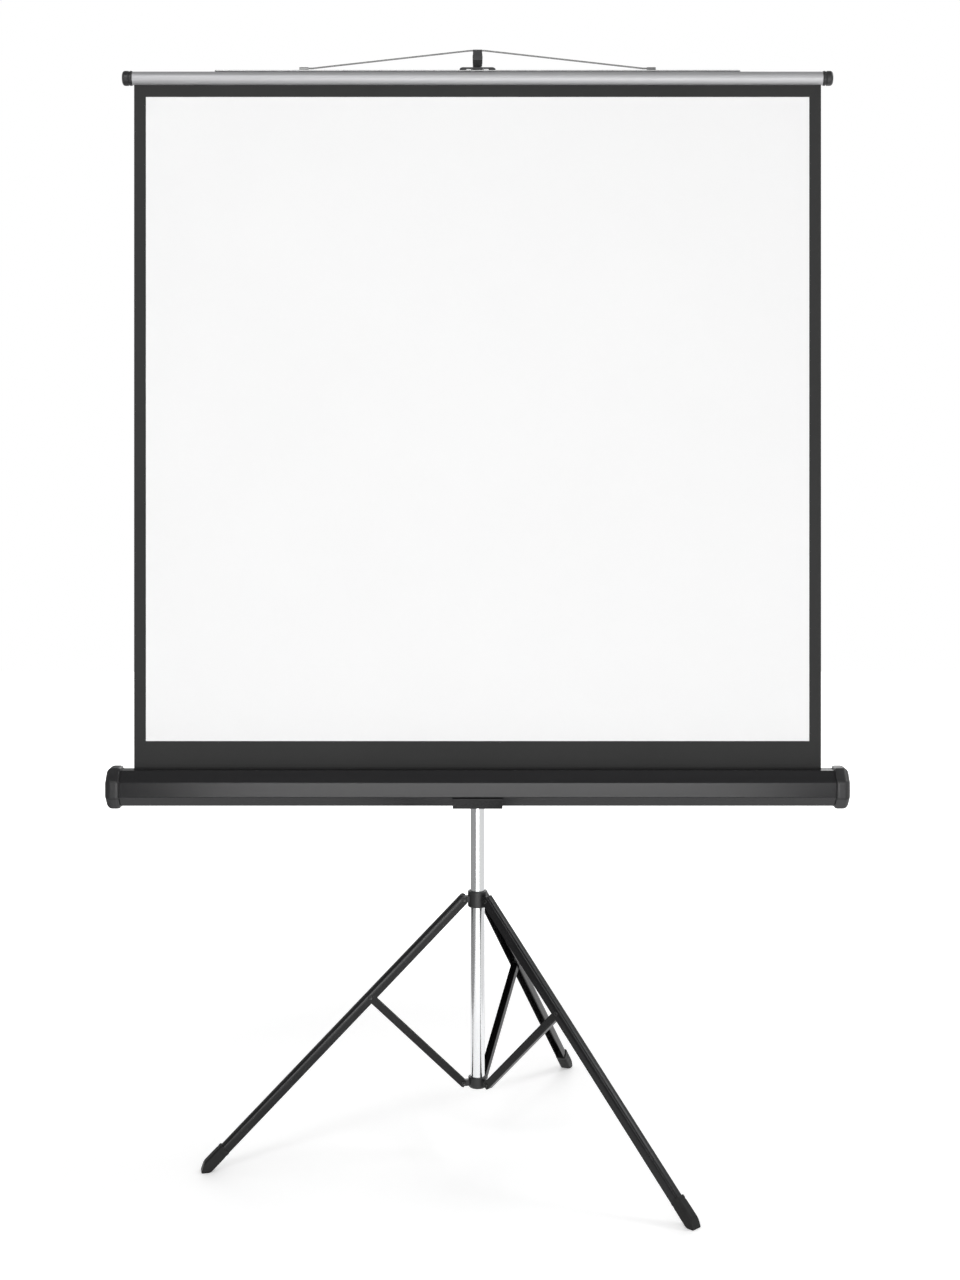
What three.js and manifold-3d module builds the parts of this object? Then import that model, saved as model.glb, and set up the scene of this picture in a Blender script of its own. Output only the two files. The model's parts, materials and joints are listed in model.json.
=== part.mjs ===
// Tripod projection screen: a folding three-legged stand, a telescoping mast, an octagonal
// roller case that slides and pivots on the pole, and a fabric screen hung from a hook.
// Millimetres. +Z up, +X to the right of a viewer who faces the screen, -Y towards that viewer.
import * as THREE from "three";
import { mergeVertices } from "three/addons/utils/BufferGeometryUtils.js";
import Module from "manifold-3d";

const wasm = await Module();
wasm.setup();

// Facets of round pieces, by size
const TUBE_SIDES = 24;
const BOSS_SIDES = 20;
const HOLE_SIDES = 16;
const PIN_SIDES = 12;
const OCTAGON_SIDES = 8;

// Fits
const SEAT_GAP = 0.3;
const RUNNING_GAP = 0.5;
const PIN_GAP = 0.4;

// Pole and mast
const POLE_DIAMETER = 32;
const POLE_WALL = 1.6;
const POLE_TOP_Z = 1350;
const MAST_DIAMETER = 25;
const MAST_WALL = 1.4;
const MAST_FOOT_Z = 1090;
const MAST_ABOVE_SLAT = 15;
const MAST_BUSH_HEIGHT = 40;
const CLAMP_DIAMETER = 44;
const CLAMP_SKIRT = 30;
const CLAMP_NECK = 34;

// Tripod linkage
const LEG_AZIMUTHS_DEG = [-78, 46, 158];
const PIVOT_RADIUS = 34;
const UPPER_PIVOT_Z = 568;
const LOWER_PIVOT_Z = 154;
const FOOT_RADIUS = 616;
const COLLAR_DIAMETER = 44;
const COLLAR_HEIGHT = 36;
const HUB_DIAMETER = 42;
const HUB_HEIGHT = 25;
const HUB_FLOOR = 5;
const LEG_WIDTH = 22;
const LEG_WALL = 1.5;
const LEG_CORNER = 5;
const BRACE_WIDTH = 16;
const BRACE_WALL = 1.2;
const BRACE_CORNER = 3;
const BRACE_OUTER = 8.5;
const BRACE_INNER = 8.5;
const LEG_LUG_RADIUS = 7;
const HUB_LUG_RADIUS = 6.5;
const PIN_RADIUS = 3;
const PIN_BORE = 1.2;
const PIN_HEAD_RADIUS = 5;
const PIN_HEAD = 1.4;
const PIN_WAIST_RADIUS = 4.5;
const FOOT_WIDTH = 26;
const FOOT_CORNER = 4.5;
const FOOT_SOCKET = 34;
const FOOT_SOLE = 16;
const FOOT_TOE_CUT = 15;
const FOOT_TOE_LEAN_DEG = 19;
const STOP_RIVET_RADIUS = 3;
const STOP_RIVET_HEAD = 2.5;
const STOP_RIVET_FLANGE = 1.5;
const STOP_RIVET_DROP = 6;

// Case
const CASE_ACROSS_FLATS = 78;
const CASE_WALL = 1;
const CASE_OVERHANG = 53;
const CASE_CENTRE_Z = 835;
const CASE_FORWARD = 87;
const CASE_SLOT = 7;
const SLOT_LIP = 5;
const SLOT_MARGIN = 1.7;
const SLOT_RELIEF_SIDE = 3;
const SLOT_RELIEF_DEPTH = 2;
const CAP_ACROSS_FLATS = 88;
const CAP_LENGTH = 41;
const CAP_ROUND = 14;
const CAP_FACE = 4;
const CAP_SCREW_SPREAD = 21;
const SCREW_RADIUS = 2;
const SCREW_HEAD_RADIUS = 4;
const SCREW_HEAD = 2.5;
const SCREW_SINK = 2;
const BRACKET_THICKNESS = 3;
const SADDLE_WIDTH = 110;
const SADDLE_THICKNESS = 6;
const SADDLE_RIVET_SPREAD = 40;
const RIVET_RADIUS = 2.5;
const RIVET_HEAD_RADIUS = 5;
const RIVET_HEAD = 1.6;

// Carriage on the pole
const CARRIAGE_DIAMETER = 45;
const CARRIAGE_HEIGHT = 100;
const PIVOT_BOSS_RADIUS = 21;
const PIVOT_BOLT_RADIUS = 5;
const PIVOT_HEAD_RADIUS = 9;
const PIVOT_HEAD = 3;
const PIVOT_BOLT_COVER = 8;
const KNOB_STEM_RADIUS = 4;
const KNOB_BOSS_RADIUS = 10;
const KNOB_BOSS_REACH = 32;
const KNOB_RADIUS = 17;
const KNOB_LOBE = 5;
const KNOB_THICKNESS = 13;
const KNOB_LOBE_COUNT = 5;
const KNOB_SIDES = 30;
const STEM_OVERLAP = 2;

// Roller
const ROLLER_RADIUS = 20;
const ROLLER_WALL = 1;
const ROLLER_OVERHANG = 3;
const WRAP_THICKNESS = 1;
const MANDREL_RADIUS = 5;
const MANDREL_REACH = 560;
const MANDREL_SQUARE = 7;
const MANDREL_OVERLAP = 2;
const PLUG_THICKNESS = 12;
const PLUG_INSET = 2;
const SPRING_RADIUS = 9;
const SPRING_LENGTH = 420;
const SPRING_WALL = 2;

// Fabric and slat
const FABRIC_WIDTH = 1524;
const FABRIC_THICKNESS = 0.5;
const SLAT_CENTRE_Z = 2405;
const SLAT_RADIUS = 15;
const SLAT_FLAT = 8;
const SLAT_OVERHANG = 3;
const SLAT_WALL = 1.6;
const SLAT_GROOVE = 2;
const SLAT_GROOVE_DEPTH = 8;
const SLAT_CAP_RADIUS = 16.5;
const SLAT_CAP_LENGTH = 22;
const SLAT_CAP_ROUND = 4;
const STRIP_LENGTH = 1166;
const STRIP_WIDTH = 11;
const STRIP_THICKNESS = 2.5;
const GRIP_LENGTH = 80;
const GRIP_HEIGHT = 9;
const GRIP_DEPTH = 11;
const GRIP_WINDOW = 15;
const GRIP_WINDOW_HEIGHT = 5;
const GRIP_WINDOW_SLOPE = 2;
const GRIP_POST = 22;

// Bail and hook
const BAIL_HALF_SPAN = 375;
const BAIL_WIRE_RADIUS = 1.8;
const BAIL_STUB = 16;
const BAIL_RISE = 45;
const BAIL_LEAN = 26;
const BAIL_FLAT = 15;
const CLIP_LENGTH = 20;
const CLIP_WIDTH = 10;
const CLIP_HEIGHT = 8;
const HOOK_WIDTH = 22;
const HOOK_FRONT_LIP = 2;
const HOOK_REAR_LIP = 5.5;
const HOOK_LIP_THICKNESS = 3.5;
const HOOK_ARM = 12;
const HOOK_ROOT = 2;
const HOOK_CHIN_BACK = 4;
const HOOK_CHIN_DROP = 8;
const HOOK_NOSE_RISE = 2;
const HOOK_BACK_DROP = 4;
const HOOK_SOCKET_RADIUS = 16;
const HOOK_SOCKET_HEIGHT = 40;

// The two ends of the case and the slat, left then right
const ENDS = [-1, 1];

// Derived sizes
const POLE_RADIUS = POLE_DIAMETER / 2;
const LEG_ANGLE = Math.atan2(FOOT_RADIUS - PIVOT_RADIUS, UPPER_PIVOT_Z);
const LINK_LENGTH = (UPPER_PIVOT_Z - LOWER_PIVOT_Z) / (2 * Math.cos(LEG_ANGLE));
const LEG_HALF = LEG_WIDTH / 2;
const BRACE_HALF = BRACE_WIDTH / 2;
const COLLAR_LUG_WIDTH = LEG_WIDTH - 2 * LEG_WALL - 2 * RUNNING_GAP;
const HUB_LUG_WIDTH = BRACE_WIDTH - 2 * BRACE_WALL - 2 * RUNNING_GAP;
const HUB_BOTTOM_Z = LOWER_PIVOT_Z - HUB_HEIGHT / 2;
const POLE_BOTTOM_Z = HUB_BOTTOM_Z + HUB_FLOOR + SEAT_GAP;
const STOP_RIVET_Z = UPPER_PIVOT_Z - COLLAR_HEIGHT / 2 - STOP_RIVET_DROP;
const ROLLER_LENGTH = FABRIC_WIDTH + 2 * ROLLER_OVERHANG;
const SLAT_LENGTH = FABRIC_WIDTH + 2 * SLAT_OVERHANG;
const CASE_OVERALL = ROLLER_LENGTH + 2 * CASE_OVERHANG;
const CASE_APOTHEM = CASE_ACROSS_FLATS / 2;
const CASE_Y = -CASE_FORWARD;
const CASE_HALF = CASE_OVERALL / 2 - CAP_ROUND - CAP_FACE;
const FABRIC_Y = CASE_Y + (CASE_APOTHEM * Math.tan(Math.PI / OCTAGON_SIDES) - CASE_SLOT / 2 - SLOT_MARGIN);
const WRAP_RADIUS = ROLLER_RADIUS + SEAT_GAP + WRAP_THICKNESS;
const ROLLER_Y = FABRIC_Y - FABRIC_THICKNESS / 2 - SEAT_GAP - WRAP_RADIUS;
const SLAT_TOP_Z = SLAT_CENTRE_Z + SLAT_RADIUS;
const STRIP_TOP_Z = SLAT_TOP_Z + SEAT_GAP + STRIP_THICKNESS;
const BAIL_AXIS_Z = STRIP_TOP_Z + SEAT_GAP + CLIP_HEIGHT / 2;
const BAIL_APEX_Z = BAIL_AXIS_Z + BAIL_RISE;
const BAIL_APEX_Y = FABRIC_Y + BAIL_LEAN;
const HOOK_SEAT_Z = BAIL_APEX_Z - BAIL_WIRE_RADIUS - SEAT_GAP;
const MAST_TOP_Z = SLAT_TOP_Z + MAST_ABOVE_SLAT;

const black = () => new THREE.MeshStandardMaterial({ color: 0x1d1d1f, roughness: 0.45, metalness: 0 });
const blackSteel = () => new THREE.MeshStandardMaterial({ color: 0x202022, roughness: 0.4, metalness: 0.3 });
const greySteel = () => new THREE.MeshStandardMaterial({ color: 0x55565a, roughness: 0.5, metalness: 0.3 });
const chrome = () => new THREE.MeshStandardMaterial({ color: 0xd8dadc, roughness: 0.15, metalness: 1 });
const steel = () => new THREE.MeshStandardMaterial({ color: 0xa9abad, roughness: 0.35, metalness: 0.9 });
const alloy = () => new THREE.MeshStandardMaterial({ color: 0xc4c6c8, roughness: 0.35, metalness: 0.9 });
const rubber = () => new THREE.MeshStandardMaterial({ color: 0x161616, roughness: 0.85, metalness: 0 });
const nylon = () => new THREE.MeshStandardMaterial({ color: 0xd9d6cc, roughness: 0.6, metalness: 0 });
const matteWhite = () => new THREE.MeshStandardMaterial({ color: 0xf4f4f4, roughness: 0.9, metalness: 0 });

function solid(geometry) {
  const bare = new THREE.BufferGeometry();
  const loose = geometry.index ? geometry.toNonIndexed() : geometry;
  bare.setAttribute("position", loose.getAttribute("position"));
  const welded = mergeVertices(bare, 1e-4);
  return new wasm.Manifold(
    new wasm.Mesh({
      numProp: 3,
      vertProperties: new Float32Array(welded.getAttribute("position").array),
      triVerts: new Uint32Array(welded.index.array),
    }),
  );
}

function geometryOf(body) {
  const made = body.getMesh();
  const geometry = new THREE.BufferGeometry();
  geometry.setAttribute("position", new THREE.BufferAttribute(made.vertProperties, 3));
  geometry.setIndex(new THREE.BufferAttribute(made.triVerts, 1));
  const flat = geometry.toNonIndexed();
  flat.computeVertexNormals();
  return flat;
}

function joined(first, ...others) {
  return geometryOf(others.reduce((sum, next) => sum.add(solid(next)), solid(first)));
}

function cut(first, ...tools) {
  return geometryOf(tools.reduce((left, tool) => left.subtract(solid(tool)), solid(first)));
}

function common(first, second) {
  return geometryOf(solid(first).intersect(solid(second)));
}

// The same body half a turn round the upright axis, for the other end of the case.
function halfTurned(geometry) {
  return geometry.rotateZ(Math.PI);
}

// A flat outline drawn in local x and y, drawn out along local z and centred on it.
function prism(outline, length, holes = []) {
  const shape = new THREE.Shape(outline.map(([u, v]) => new THREE.Vector2(u, v)));
  for (const hole of holes) {
    shape.holes.push(new THREE.Path(hole.map(([u, v]) => new THREE.Vector2(u, v))));
  }
  const body = new THREE.ExtrudeGeometry(shape, { depth: length, bevelEnabled: false, steps: 1 });
  return body.translate(0, 0, -length / 2);
}

// Turns a prism so that its outline lies in the y and z plane and its length along x.
function alongX(geometry) {
  const turn = new THREE.Matrix4();
  turn.makeBasis(new THREE.Vector3(0, 1, 0), new THREE.Vector3(0, 0, 1), new THREE.Vector3(1, 0, 0));
  return geometry.applyMatrix4(turn);
}

// Turns a prism so that its outline lies in the x and z plane and its length along y.
function alongY(geometry) {
  return geometry.rotateX(Math.PI / 2);
}

function rodX(radius, length, sides) {
  return new THREE.CylinderGeometry(radius, radius, length, sides).rotateZ(Math.PI / 2);
}

function rodY(radius, length, sides) {
  return new THREE.CylinderGeometry(radius, radius, length, sides);
}

function rodZ(radius, length, sides) {
  return new THREE.CylinderGeometry(radius, radius, length, sides).rotateX(Math.PI / 2);
}

// A ring or sleeve whose axis is local y.
function sleeve(outer, inner, length, sides) {
  const half = length / 2;
  const profile = [
    [inner, -half],
    [outer, -half],
    [outer, half],
    [inner, half],
    [inner, -half],
  ];
  return new THREE.LatheGeometry(profile.map(([r, y]) => new THREE.Vector2(r, y)), sides);
}

function sleeveZ(outer, inner, length, sides) {
  return sleeve(outer, inner, length, sides).rotateX(Math.PI / 2);
}

function sleeveX(outer, inner, length, sides) {
  return sleeve(outer, inner, length, sides).rotateZ(Math.PI / 2);
}

// A tubular rivet along local y that grips a stack of the given thickness, with an optional wider waist.
function tubularRivet(grip, waistFrom = 0, waistTo = 0) {
  const inside = grip / 2 + SEAT_GAP;
  const outside = inside + PIN_HEAD;
  const waist = (side) =>
    waistTo > waistFrom
      ? [
          [PIN_RADIUS, side * (side < 0 ? waistTo : waistFrom)],
          [PIN_WAIST_RADIUS, side * (side < 0 ? waistTo : waistFrom)],
          [PIN_WAIST_RADIUS, side * (side < 0 ? waistFrom : waistTo)],
          [PIN_RADIUS, side * (side < 0 ? waistFrom : waistTo)],
        ]
      : [];
  const profile = [
    [PIN_BORE, -outside],
    [PIN_HEAD_RADIUS, -outside],
    [PIN_HEAD_RADIUS, -inside],
    [PIN_RADIUS, -inside],
    ...waist(-1),
    ...waist(1),
    [PIN_RADIUS, inside],
    [PIN_HEAD_RADIUS, inside],
    [PIN_HEAD_RADIUS, outside],
    [PIN_BORE, outside],
    [PIN_BORE, -outside],
  ];
  return new THREE.LatheGeometry(profile.map(([r, y]) => new THREE.Vector2(r, y)), PIN_SIDES);
}

function arc(cu, cv, radius, fromDeg, toDeg, steps) {
  return Array.from({ length: steps + 1 }, (_, i) => {
    const angle = THREE.MathUtils.degToRad(fromDeg + ((toDeg - fromDeg) * i) / steps);
    return [cu + radius * Math.cos(angle), cv + radius * Math.sin(angle)];
  });
}

function roundedRectangle(width, height, radius, steps) {
  const u = width / 2 - radius;
  const v = height / 2 - radius;
  return [
    ...arc(u, v, radius, 0, 90, steps),
    ...arc(-u, v, radius, 90, 180, steps),
    ...arc(-u, -v, radius, 180, 270, steps),
    ...arc(u, -v, radius, 270, 360, steps),
  ];
}

// Corners of an octagon, from the front end of its top side round by the front and the underside.
function octagon(apothem) {
  const circumradius = apothem / Math.cos(Math.PI / OCTAGON_SIDES);
  return Array.from({ length: OCTAGON_SIDES }, (_, i) => {
    const angle = Math.PI / 2 + ((2 * i + 1) * Math.PI) / OCTAGON_SIDES;
    return [circumradius * Math.cos(angle), circumradius * Math.sin(angle)];
  });
}

// The corners from the foot of the front side, under the octagon, to the head of the back side.
function saddleCorners(apothem) {
  return octagon(apothem).slice(2, -1);
}

// The section of a channel: its back at +x, its open side at -x, its width along y.
function channel(width, inner, outer, wall, corner) {
  const half = width / 2;
  const bend = corner - wall;
  return [
    [-inner, -half],
    ...arc(outer - corner, -half + corner, corner, 270, 360, 4),
    ...arc(outer - corner, half - corner, corner, 0, 90, 4),
    [-inner, half],
    [-inner, half - wall],
    ...arc(outer - corner, half - corner, bend, 90, 0, 4),
    ...arc(outer - corner, -half + corner, bend, 360, 270, 4),
    [-inner, -half + wall],
  ];
}

function named(name, geometry, material) {
  const piece = new THREE.Mesh(geometry, material);
  piece.name = name;
  return piece;
}

function handOf(side) {
  return side < 0 ? "left" : "right";
}

const screen = new THREE.Group();
screen.name = "tripod_projection_screen";
const assembly = new THREE.Group();
screen.add(assembly);

// Pole, lower hub and upper collar
function lug(width, radius, pivotZ) {
  const outline = [
    [0, -radius],
    ...arc(PIVOT_RADIUS, 0, radius, -90, 90, 8),
    [0, radius],
  ];
  const hole = arc(PIVOT_RADIUS, 0, PIN_RADIUS + PIN_GAP, 0, 337.5, 15);
  return alongY(prism(outline, width, [hole])).translate(0, 0, pivotZ);
}

function spread(make) {
  return LEG_AZIMUTHS_DEG.map((azimuth) => make().rotateZ(THREE.MathUtils.degToRad(azimuth - 90)));
}

const poleLength = POLE_TOP_Z - POLE_BOTTOM_Z;
const poleTube = named(
  "pole_tube",
  cut(
    sleeveZ(POLE_RADIUS, POLE_RADIUS - POLE_WALL, poleLength, TUBE_SIDES),
    rodY(STOP_RIVET_RADIUS + PIN_GAP, POLE_RADIUS, HOLE_SIDES).translate(
      0,
      POLE_RADIUS,
      STOP_RIVET_Z - (POLE_TOP_Z + POLE_BOTTOM_Z) / 2,
    ),
  ),
  chrome(),
);
poleTube.position.z = (POLE_TOP_Z + POLE_BOTTOM_Z) / 2;
assembly.add(poleTube);

const hubBody = joined(
  rodZ(HUB_DIAMETER / 2, HUB_HEIGHT, TUBE_SIDES).translate(0, 0, HUB_BOTTOM_Z + HUB_HEIGHT / 2),
  ...spread(() => lug(HUB_LUG_WIDTH, HUB_LUG_RADIUS, LOWER_PIVOT_Z)),
);
const hubBore = rodZ(POLE_RADIUS + SEAT_GAP, HUB_HEIGHT, TUBE_SIDES);
hubBore.translate(0, 0, HUB_BOTTOM_Z + HUB_FLOOR + HUB_HEIGHT / 2);
assembly.add(named("lower_hub", cut(hubBody, hubBore), black()));

const collarBody = joined(
  rodZ(COLLAR_DIAMETER / 2, COLLAR_HEIGHT, TUBE_SIDES).translate(0, 0, UPPER_PIVOT_Z),
  ...spread(() => lug(COLLAR_LUG_WIDTH, LEG_LUG_RADIUS, UPPER_PIVOT_Z)),
);
const collarBore = rodZ(POLE_RADIUS + RUNNING_GAP, COLLAR_HEIGHT * 2, TUBE_SIDES);
collarBore.translate(0, 0, UPPER_PIVOT_Z);
assembly.add(named("upper_collar", cut(collarBody, collarBore), black()));

const stopShank = rodY(STOP_RIVET_RADIUS, POLE_WALL + STOP_RIVET_HEAD, PIN_SIDES);
const stopHead = rodY(STOP_RIVET_RADIUS + STOP_RIVET_FLANGE, STOP_RIVET_HEAD, PIN_SIDES);
const stopRivet = joined(stopShank, stopHead.translate(0, POLE_WALL / 2 + SEAT_GAP, 0));
const legStop = named("leg_stop_rivet", stopRivet, steel());
legStop.position.set(
  0,
  POLE_RADIUS + (STOP_RIVET_HEAD - POLE_WALL) / 2 + SEAT_GAP,
  STOP_RIVET_Z,
);
assembly.add(legStop);

// Legs, braces, pins and feet, one spoke for each leg
const legEnd =
  (UPPER_PIVOT_Z - FOOT_SOLE - LEG_HALF * Math.sin(LEG_ANGLE)) / Math.cos(LEG_ANGLE);
const footReach = (UPPER_PIVOT_Z + FOOT_WIDTH) / Math.cos(LEG_ANGLE);
const pinHole = () => rodY(PIN_RADIUS + PIN_GAP, LEG_WIDTH * 2, HOLE_SIDES);

function legGeometry() {
  const bar = prism(channel(LEG_WIDTH, LEG_HALF, LEG_HALF, LEG_WALL, LEG_CORNER), legEnd + LEG_HALF);
  bar.translate(0, 0, (LEG_HALF - legEnd) / 2);
  const outline = [
    [LEG_WIDTH, -legEnd - LEG_WIDTH],
    [LEG_WIDTH, -LEG_WIDTH],
    [LEG_HALF, -LEG_WIDTH],
    ...arc(0, 0, LEG_HALF, 0, 180, 10),
    [-LEG_HALF, -LEG_WIDTH],
    [-LEG_WIDTH, -LEG_WIDTH],
    [-LEG_WIDTH, -legEnd - LEG_WIDTH],
  ];
  const rounded = common(bar, alongY(prism(outline, LEG_WIDTH * 2)));
  return cut(rounded, pinHole(), pinHole().translate(0, 0, -LINK_LENGTH));
}

function braceGeometry() {
  const section = channel(BRACE_WIDTH, BRACE_INNER, BRACE_OUTER, BRACE_WALL, BRACE_CORNER);
  const bar = prism(section, LINK_LENGTH + 2 * BRACE_OUTER).translate(0, 0, LINK_LENGTH / 2);
  const outline = [
    ...arc(0, LINK_LENGTH, BRACE_OUTER, 0, 180, 10),
    ...arc(0, 0, BRACE_OUTER, 180, 360, 10),
  ];
  const rounded = common(bar, alongY(prism(outline, BRACE_WIDTH * 2)));
  return cut(rounded, pinHole(), pinHole().translate(0, 0, LINK_LENGTH));
}

function footGeometry() {
  const section = roundedRectangle(FOOT_WIDTH, FOOT_WIDTH, FOOT_CORNER, 4);
  const boot = prism(section, footReach - legEnd + FOOT_SOCKET);
  boot.translate(0, 0, -(footReach + legEnd - FOOT_SOCKET) / 2);
  const socketSize = LEG_WIDTH + 2 * SEAT_GAP;
  const pocket = new THREE.BoxGeometry(socketSize, socketSize, FOOT_SOCKET * 2);
  pocket.translate(0, 0, -legEnd - SEAT_GAP + FOOT_SOCKET);
  const hollow = cut(boot, pocket).rotateY(-LEG_ANGLE).translate(PIVOT_RADIUS, 0, UPPER_PIVOT_Z);
  const floor = new THREE.BoxGeometry(FOOT_RADIUS * 4, FOOT_WIDTH * 4, FOOT_RADIUS).translate(
    0,
    0,
    -FOOT_RADIUS / 2,
  );
  const toe = FOOT_RADIUS + FOOT_WIDTH / 2 / Math.cos(LEG_ANGLE) - FOOT_TOE_CUT;
  const slope = FOOT_WIDTH * Math.tan(THREE.MathUtils.degToRad(FOOT_TOE_LEAN_DEG));
  const beyondToe = [
    [toe + slope, -FOOT_WIDTH],
    [toe + 4 * FOOT_WIDTH, -FOOT_WIDTH],
    [toe + 4 * FOOT_WIDTH, 3 * FOOT_WIDTH],
    [toe - 3 * slope, 3 * FOOT_WIDTH],
  ];
  return cut(hollow, floor, alongY(prism(beyondToe, FOOT_WIDTH * 2)));
}

LEG_AZIMUTHS_DEG.forEach((azimuth, index) => {
  const number = index + 1;
  const spoke = new THREE.Group();
  spoke.rotation.z = THREE.MathUtils.degToRad(azimuth - 90);

  const leg = named(`leg_${number}`, legGeometry(), blackSteel());
  leg.position.set(PIVOT_RADIUS, 0, UPPER_PIVOT_Z);
  leg.rotation.y = -LEG_ANGLE;

  const legPin = named(`leg_pin_${number}`, tubularRivet(LEG_WIDTH), steel());
  legPin.position.set(PIVOT_RADIUS, 0, UPPER_PIVOT_Z);

  const brace = named(`brace_${number}`, braceGeometry(), blackSteel());
  brace.position.set(PIVOT_RADIUS, 0, LOWER_PIVOT_Z);
  brace.rotation.y = LEG_ANGLE;

  const hubPin = named(`hub_pin_${number}`, tubularRivet(BRACE_WIDTH), steel());
  hubPin.position.set(PIVOT_RADIUS, 0, LOWER_PIVOT_Z);

  const waistFrom = BRACE_HALF + SEAT_GAP;
  const waistTo = LEG_HALF - LEG_WALL - SEAT_GAP;
  const bracePin = named(`brace_pin_${number}`, tubularRivet(LEG_WIDTH, waistFrom, waistTo), steel());
  bracePin.position.set(
    PIVOT_RADIUS + LINK_LENGTH * Math.sin(LEG_ANGLE),
    0,
    UPPER_PIVOT_Z - LINK_LENGTH * Math.cos(LEG_ANGLE),
  );

  const foot = named(`foot_${number}`, footGeometry(), rubber());
  spoke.add(leg, legPin, brace, hubPin, bracePin, foot);
  assembly.add(spoke);
});

// Mast, its lower bush, the clamp on the pole top and the clamp knob
function knobGeometry(stemLength) {
  const lobes = Array.from({ length: KNOB_SIDES }, (_, i) => {
    const angle = (2 * i * Math.PI) / KNOB_SIDES;
    const radius = KNOB_RADIUS - KNOB_LOBE / 2 + (KNOB_LOBE / 2) * Math.cos(KNOB_LOBE_COUNT * angle);
    return [radius * Math.cos(angle), radius * Math.sin(angle)];
  });
  const grip = alongY(prism(lobes, KNOB_THICKNESS)).translate(0, stemLength + KNOB_THICKNESS / 2, 0);
  const stem = rodY(KNOB_STEM_RADIUS, stemLength + STEM_OVERLAP, HOLE_SIDES);
  return joined(grip, stem.translate(0, (stemLength + STEM_OVERLAP) / 2, 0));
}

function knobBoss(z) {
  const reach = KNOB_BOSS_REACH - POLE_RADIUS;
  return rodY(KNOB_BOSS_RADIUS, reach, BOSS_SIDES).translate(0, POLE_RADIUS + reach / 2, z);
}

function knobHole(z) {
  return rodY(KNOB_STEM_RADIUS + PIN_GAP, KNOB_BOSS_REACH * 2, HOLE_SIDES).translate(0, KNOB_BOSS_REACH, z);
}

const clampBottomZ = POLE_TOP_Z - CLAMP_SKIRT;
const clampTopZ = POLE_TOP_Z + CLAMP_NECK;
const clampMiddleZ = (clampBottomZ + clampTopZ) / 2;
const clampKnobZ = POLE_TOP_Z + CLAMP_NECK / 2;
const skirtBoreZ = POLE_TOP_Z + SEAT_GAP - CLAMP_SKIRT;
const clampBody = joined(
  rodZ(CLAMP_DIAMETER / 2, clampTopZ - clampBottomZ, TUBE_SIDES).translate(0, 0, clampMiddleZ),
  knobBoss(clampKnobZ),
);
const clamp = cut(
  clampBody,
  rodZ(POLE_RADIUS + SEAT_GAP, CLAMP_SKIRT * 2, TUBE_SIDES).translate(0, 0, skirtBoreZ),
  rodZ(MAST_DIAMETER / 2 + RUNNING_GAP, CLAMP_NECK * 4, TUBE_SIDES).translate(0, 0, POLE_TOP_Z),
  knobHole(clampKnobZ),
);
assembly.add(named("mast_clamp", clamp, black()));

const mastKnobStart = MAST_DIAMETER / 2 + SEAT_GAP;
const mastKnob = named("mast_knob", knobGeometry(KNOB_BOSS_REACH + SEAT_GAP - mastKnobStart), black());
mastKnob.position.set(0, mastKnobStart, clampKnobZ);
assembly.add(mastKnob);

const mastTubeBottom = MAST_FOOT_Z + MAST_BUSH_HEIGHT / 2;
const mastTube = named(
  "mast_tube",
  sleeveZ(MAST_DIAMETER / 2, MAST_DIAMETER / 2 - MAST_WALL, MAST_TOP_Z - mastTubeBottom, TUBE_SIDES),
  chrome(),
);
mastTube.position.z = (MAST_TOP_Z + mastTubeBottom) / 2;
assembly.add(mastTube);

const bushOuter = POLE_RADIUS - POLE_WALL - SEAT_GAP;
const mastBush = cut(
  rodZ(bushOuter, MAST_BUSH_HEIGHT, TUBE_SIDES).translate(0, 0, MAST_FOOT_Z + MAST_BUSH_HEIGHT / 2),
  rodZ(MAST_DIAMETER / 2 + SEAT_GAP, MAST_BUSH_HEIGHT, TUBE_SIDES).translate(
    0,
    0,
    mastTubeBottom - SEAT_GAP + MAST_BUSH_HEIGHT / 2,
  ),
);
assembly.add(named("mast_bush", mastBush, nylon()));

const hookFrontZ = HOOK_SEAT_Z + HOOK_FRONT_LIP;
const hookRearZ = HOOK_SEAT_Z + HOOK_REAR_LIP;
const hookChinZ = HOOK_SEAT_Z - HOOK_ARM;
const grooveHalf = BAIL_WIRE_RADIUS + RUNNING_GAP;
const hookFrontY = BAIL_APEX_Y - grooveHalf - HOOK_LIP_THICKNESS;
const hookRearY = BAIL_APEX_Y + grooveHalf + HOOK_LIP_THICKNESS;
const hookOutline = [
  [HOOK_SOCKET_RADIUS - HOOK_ROOT, MAST_TOP_Z - HOOK_ARM],
  [BAIL_APEX_Y - HOOK_CHIN_BACK, hookChinZ - HOOK_CHIN_DROP],
  [hookFrontY, hookChinZ + HOOK_NOSE_RISE],
  [hookFrontY, hookFrontZ],
  [BAIL_APEX_Y - grooveHalf, hookFrontZ],
  [BAIL_APEX_Y - grooveHalf, HOOK_SEAT_Z],
  [BAIL_APEX_Y + grooveHalf, HOOK_SEAT_Z],
  [BAIL_APEX_Y + grooveHalf, hookRearZ],
  [hookRearY, hookRearZ],
  [hookRearY, HOOK_SEAT_Z - HOOK_BACK_DROP],
  [HOOK_SOCKET_RADIUS - HOOK_ROOT, MAST_TOP_Z + HOOK_ARM / 2],
];
const hookHead = cut(
  joined(
    rodZ(HOOK_SOCKET_RADIUS, HOOK_SOCKET_HEIGHT, TUBE_SIDES).translate(
      0,
      0,
      MAST_TOP_Z + HOOK_ARM / 2 - HOOK_SOCKET_HEIGHT / 2,
    ),
    alongX(prism(hookOutline, HOOK_WIDTH)),
  ),
  rodZ(MAST_DIAMETER / 2 + SEAT_GAP, HOOK_SOCKET_HEIGHT * 2, TUBE_SIDES).translate(
    0,
    0,
    MAST_TOP_Z + SEAT_GAP - HOOK_SOCKET_HEIGHT,
  ),
);
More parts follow.
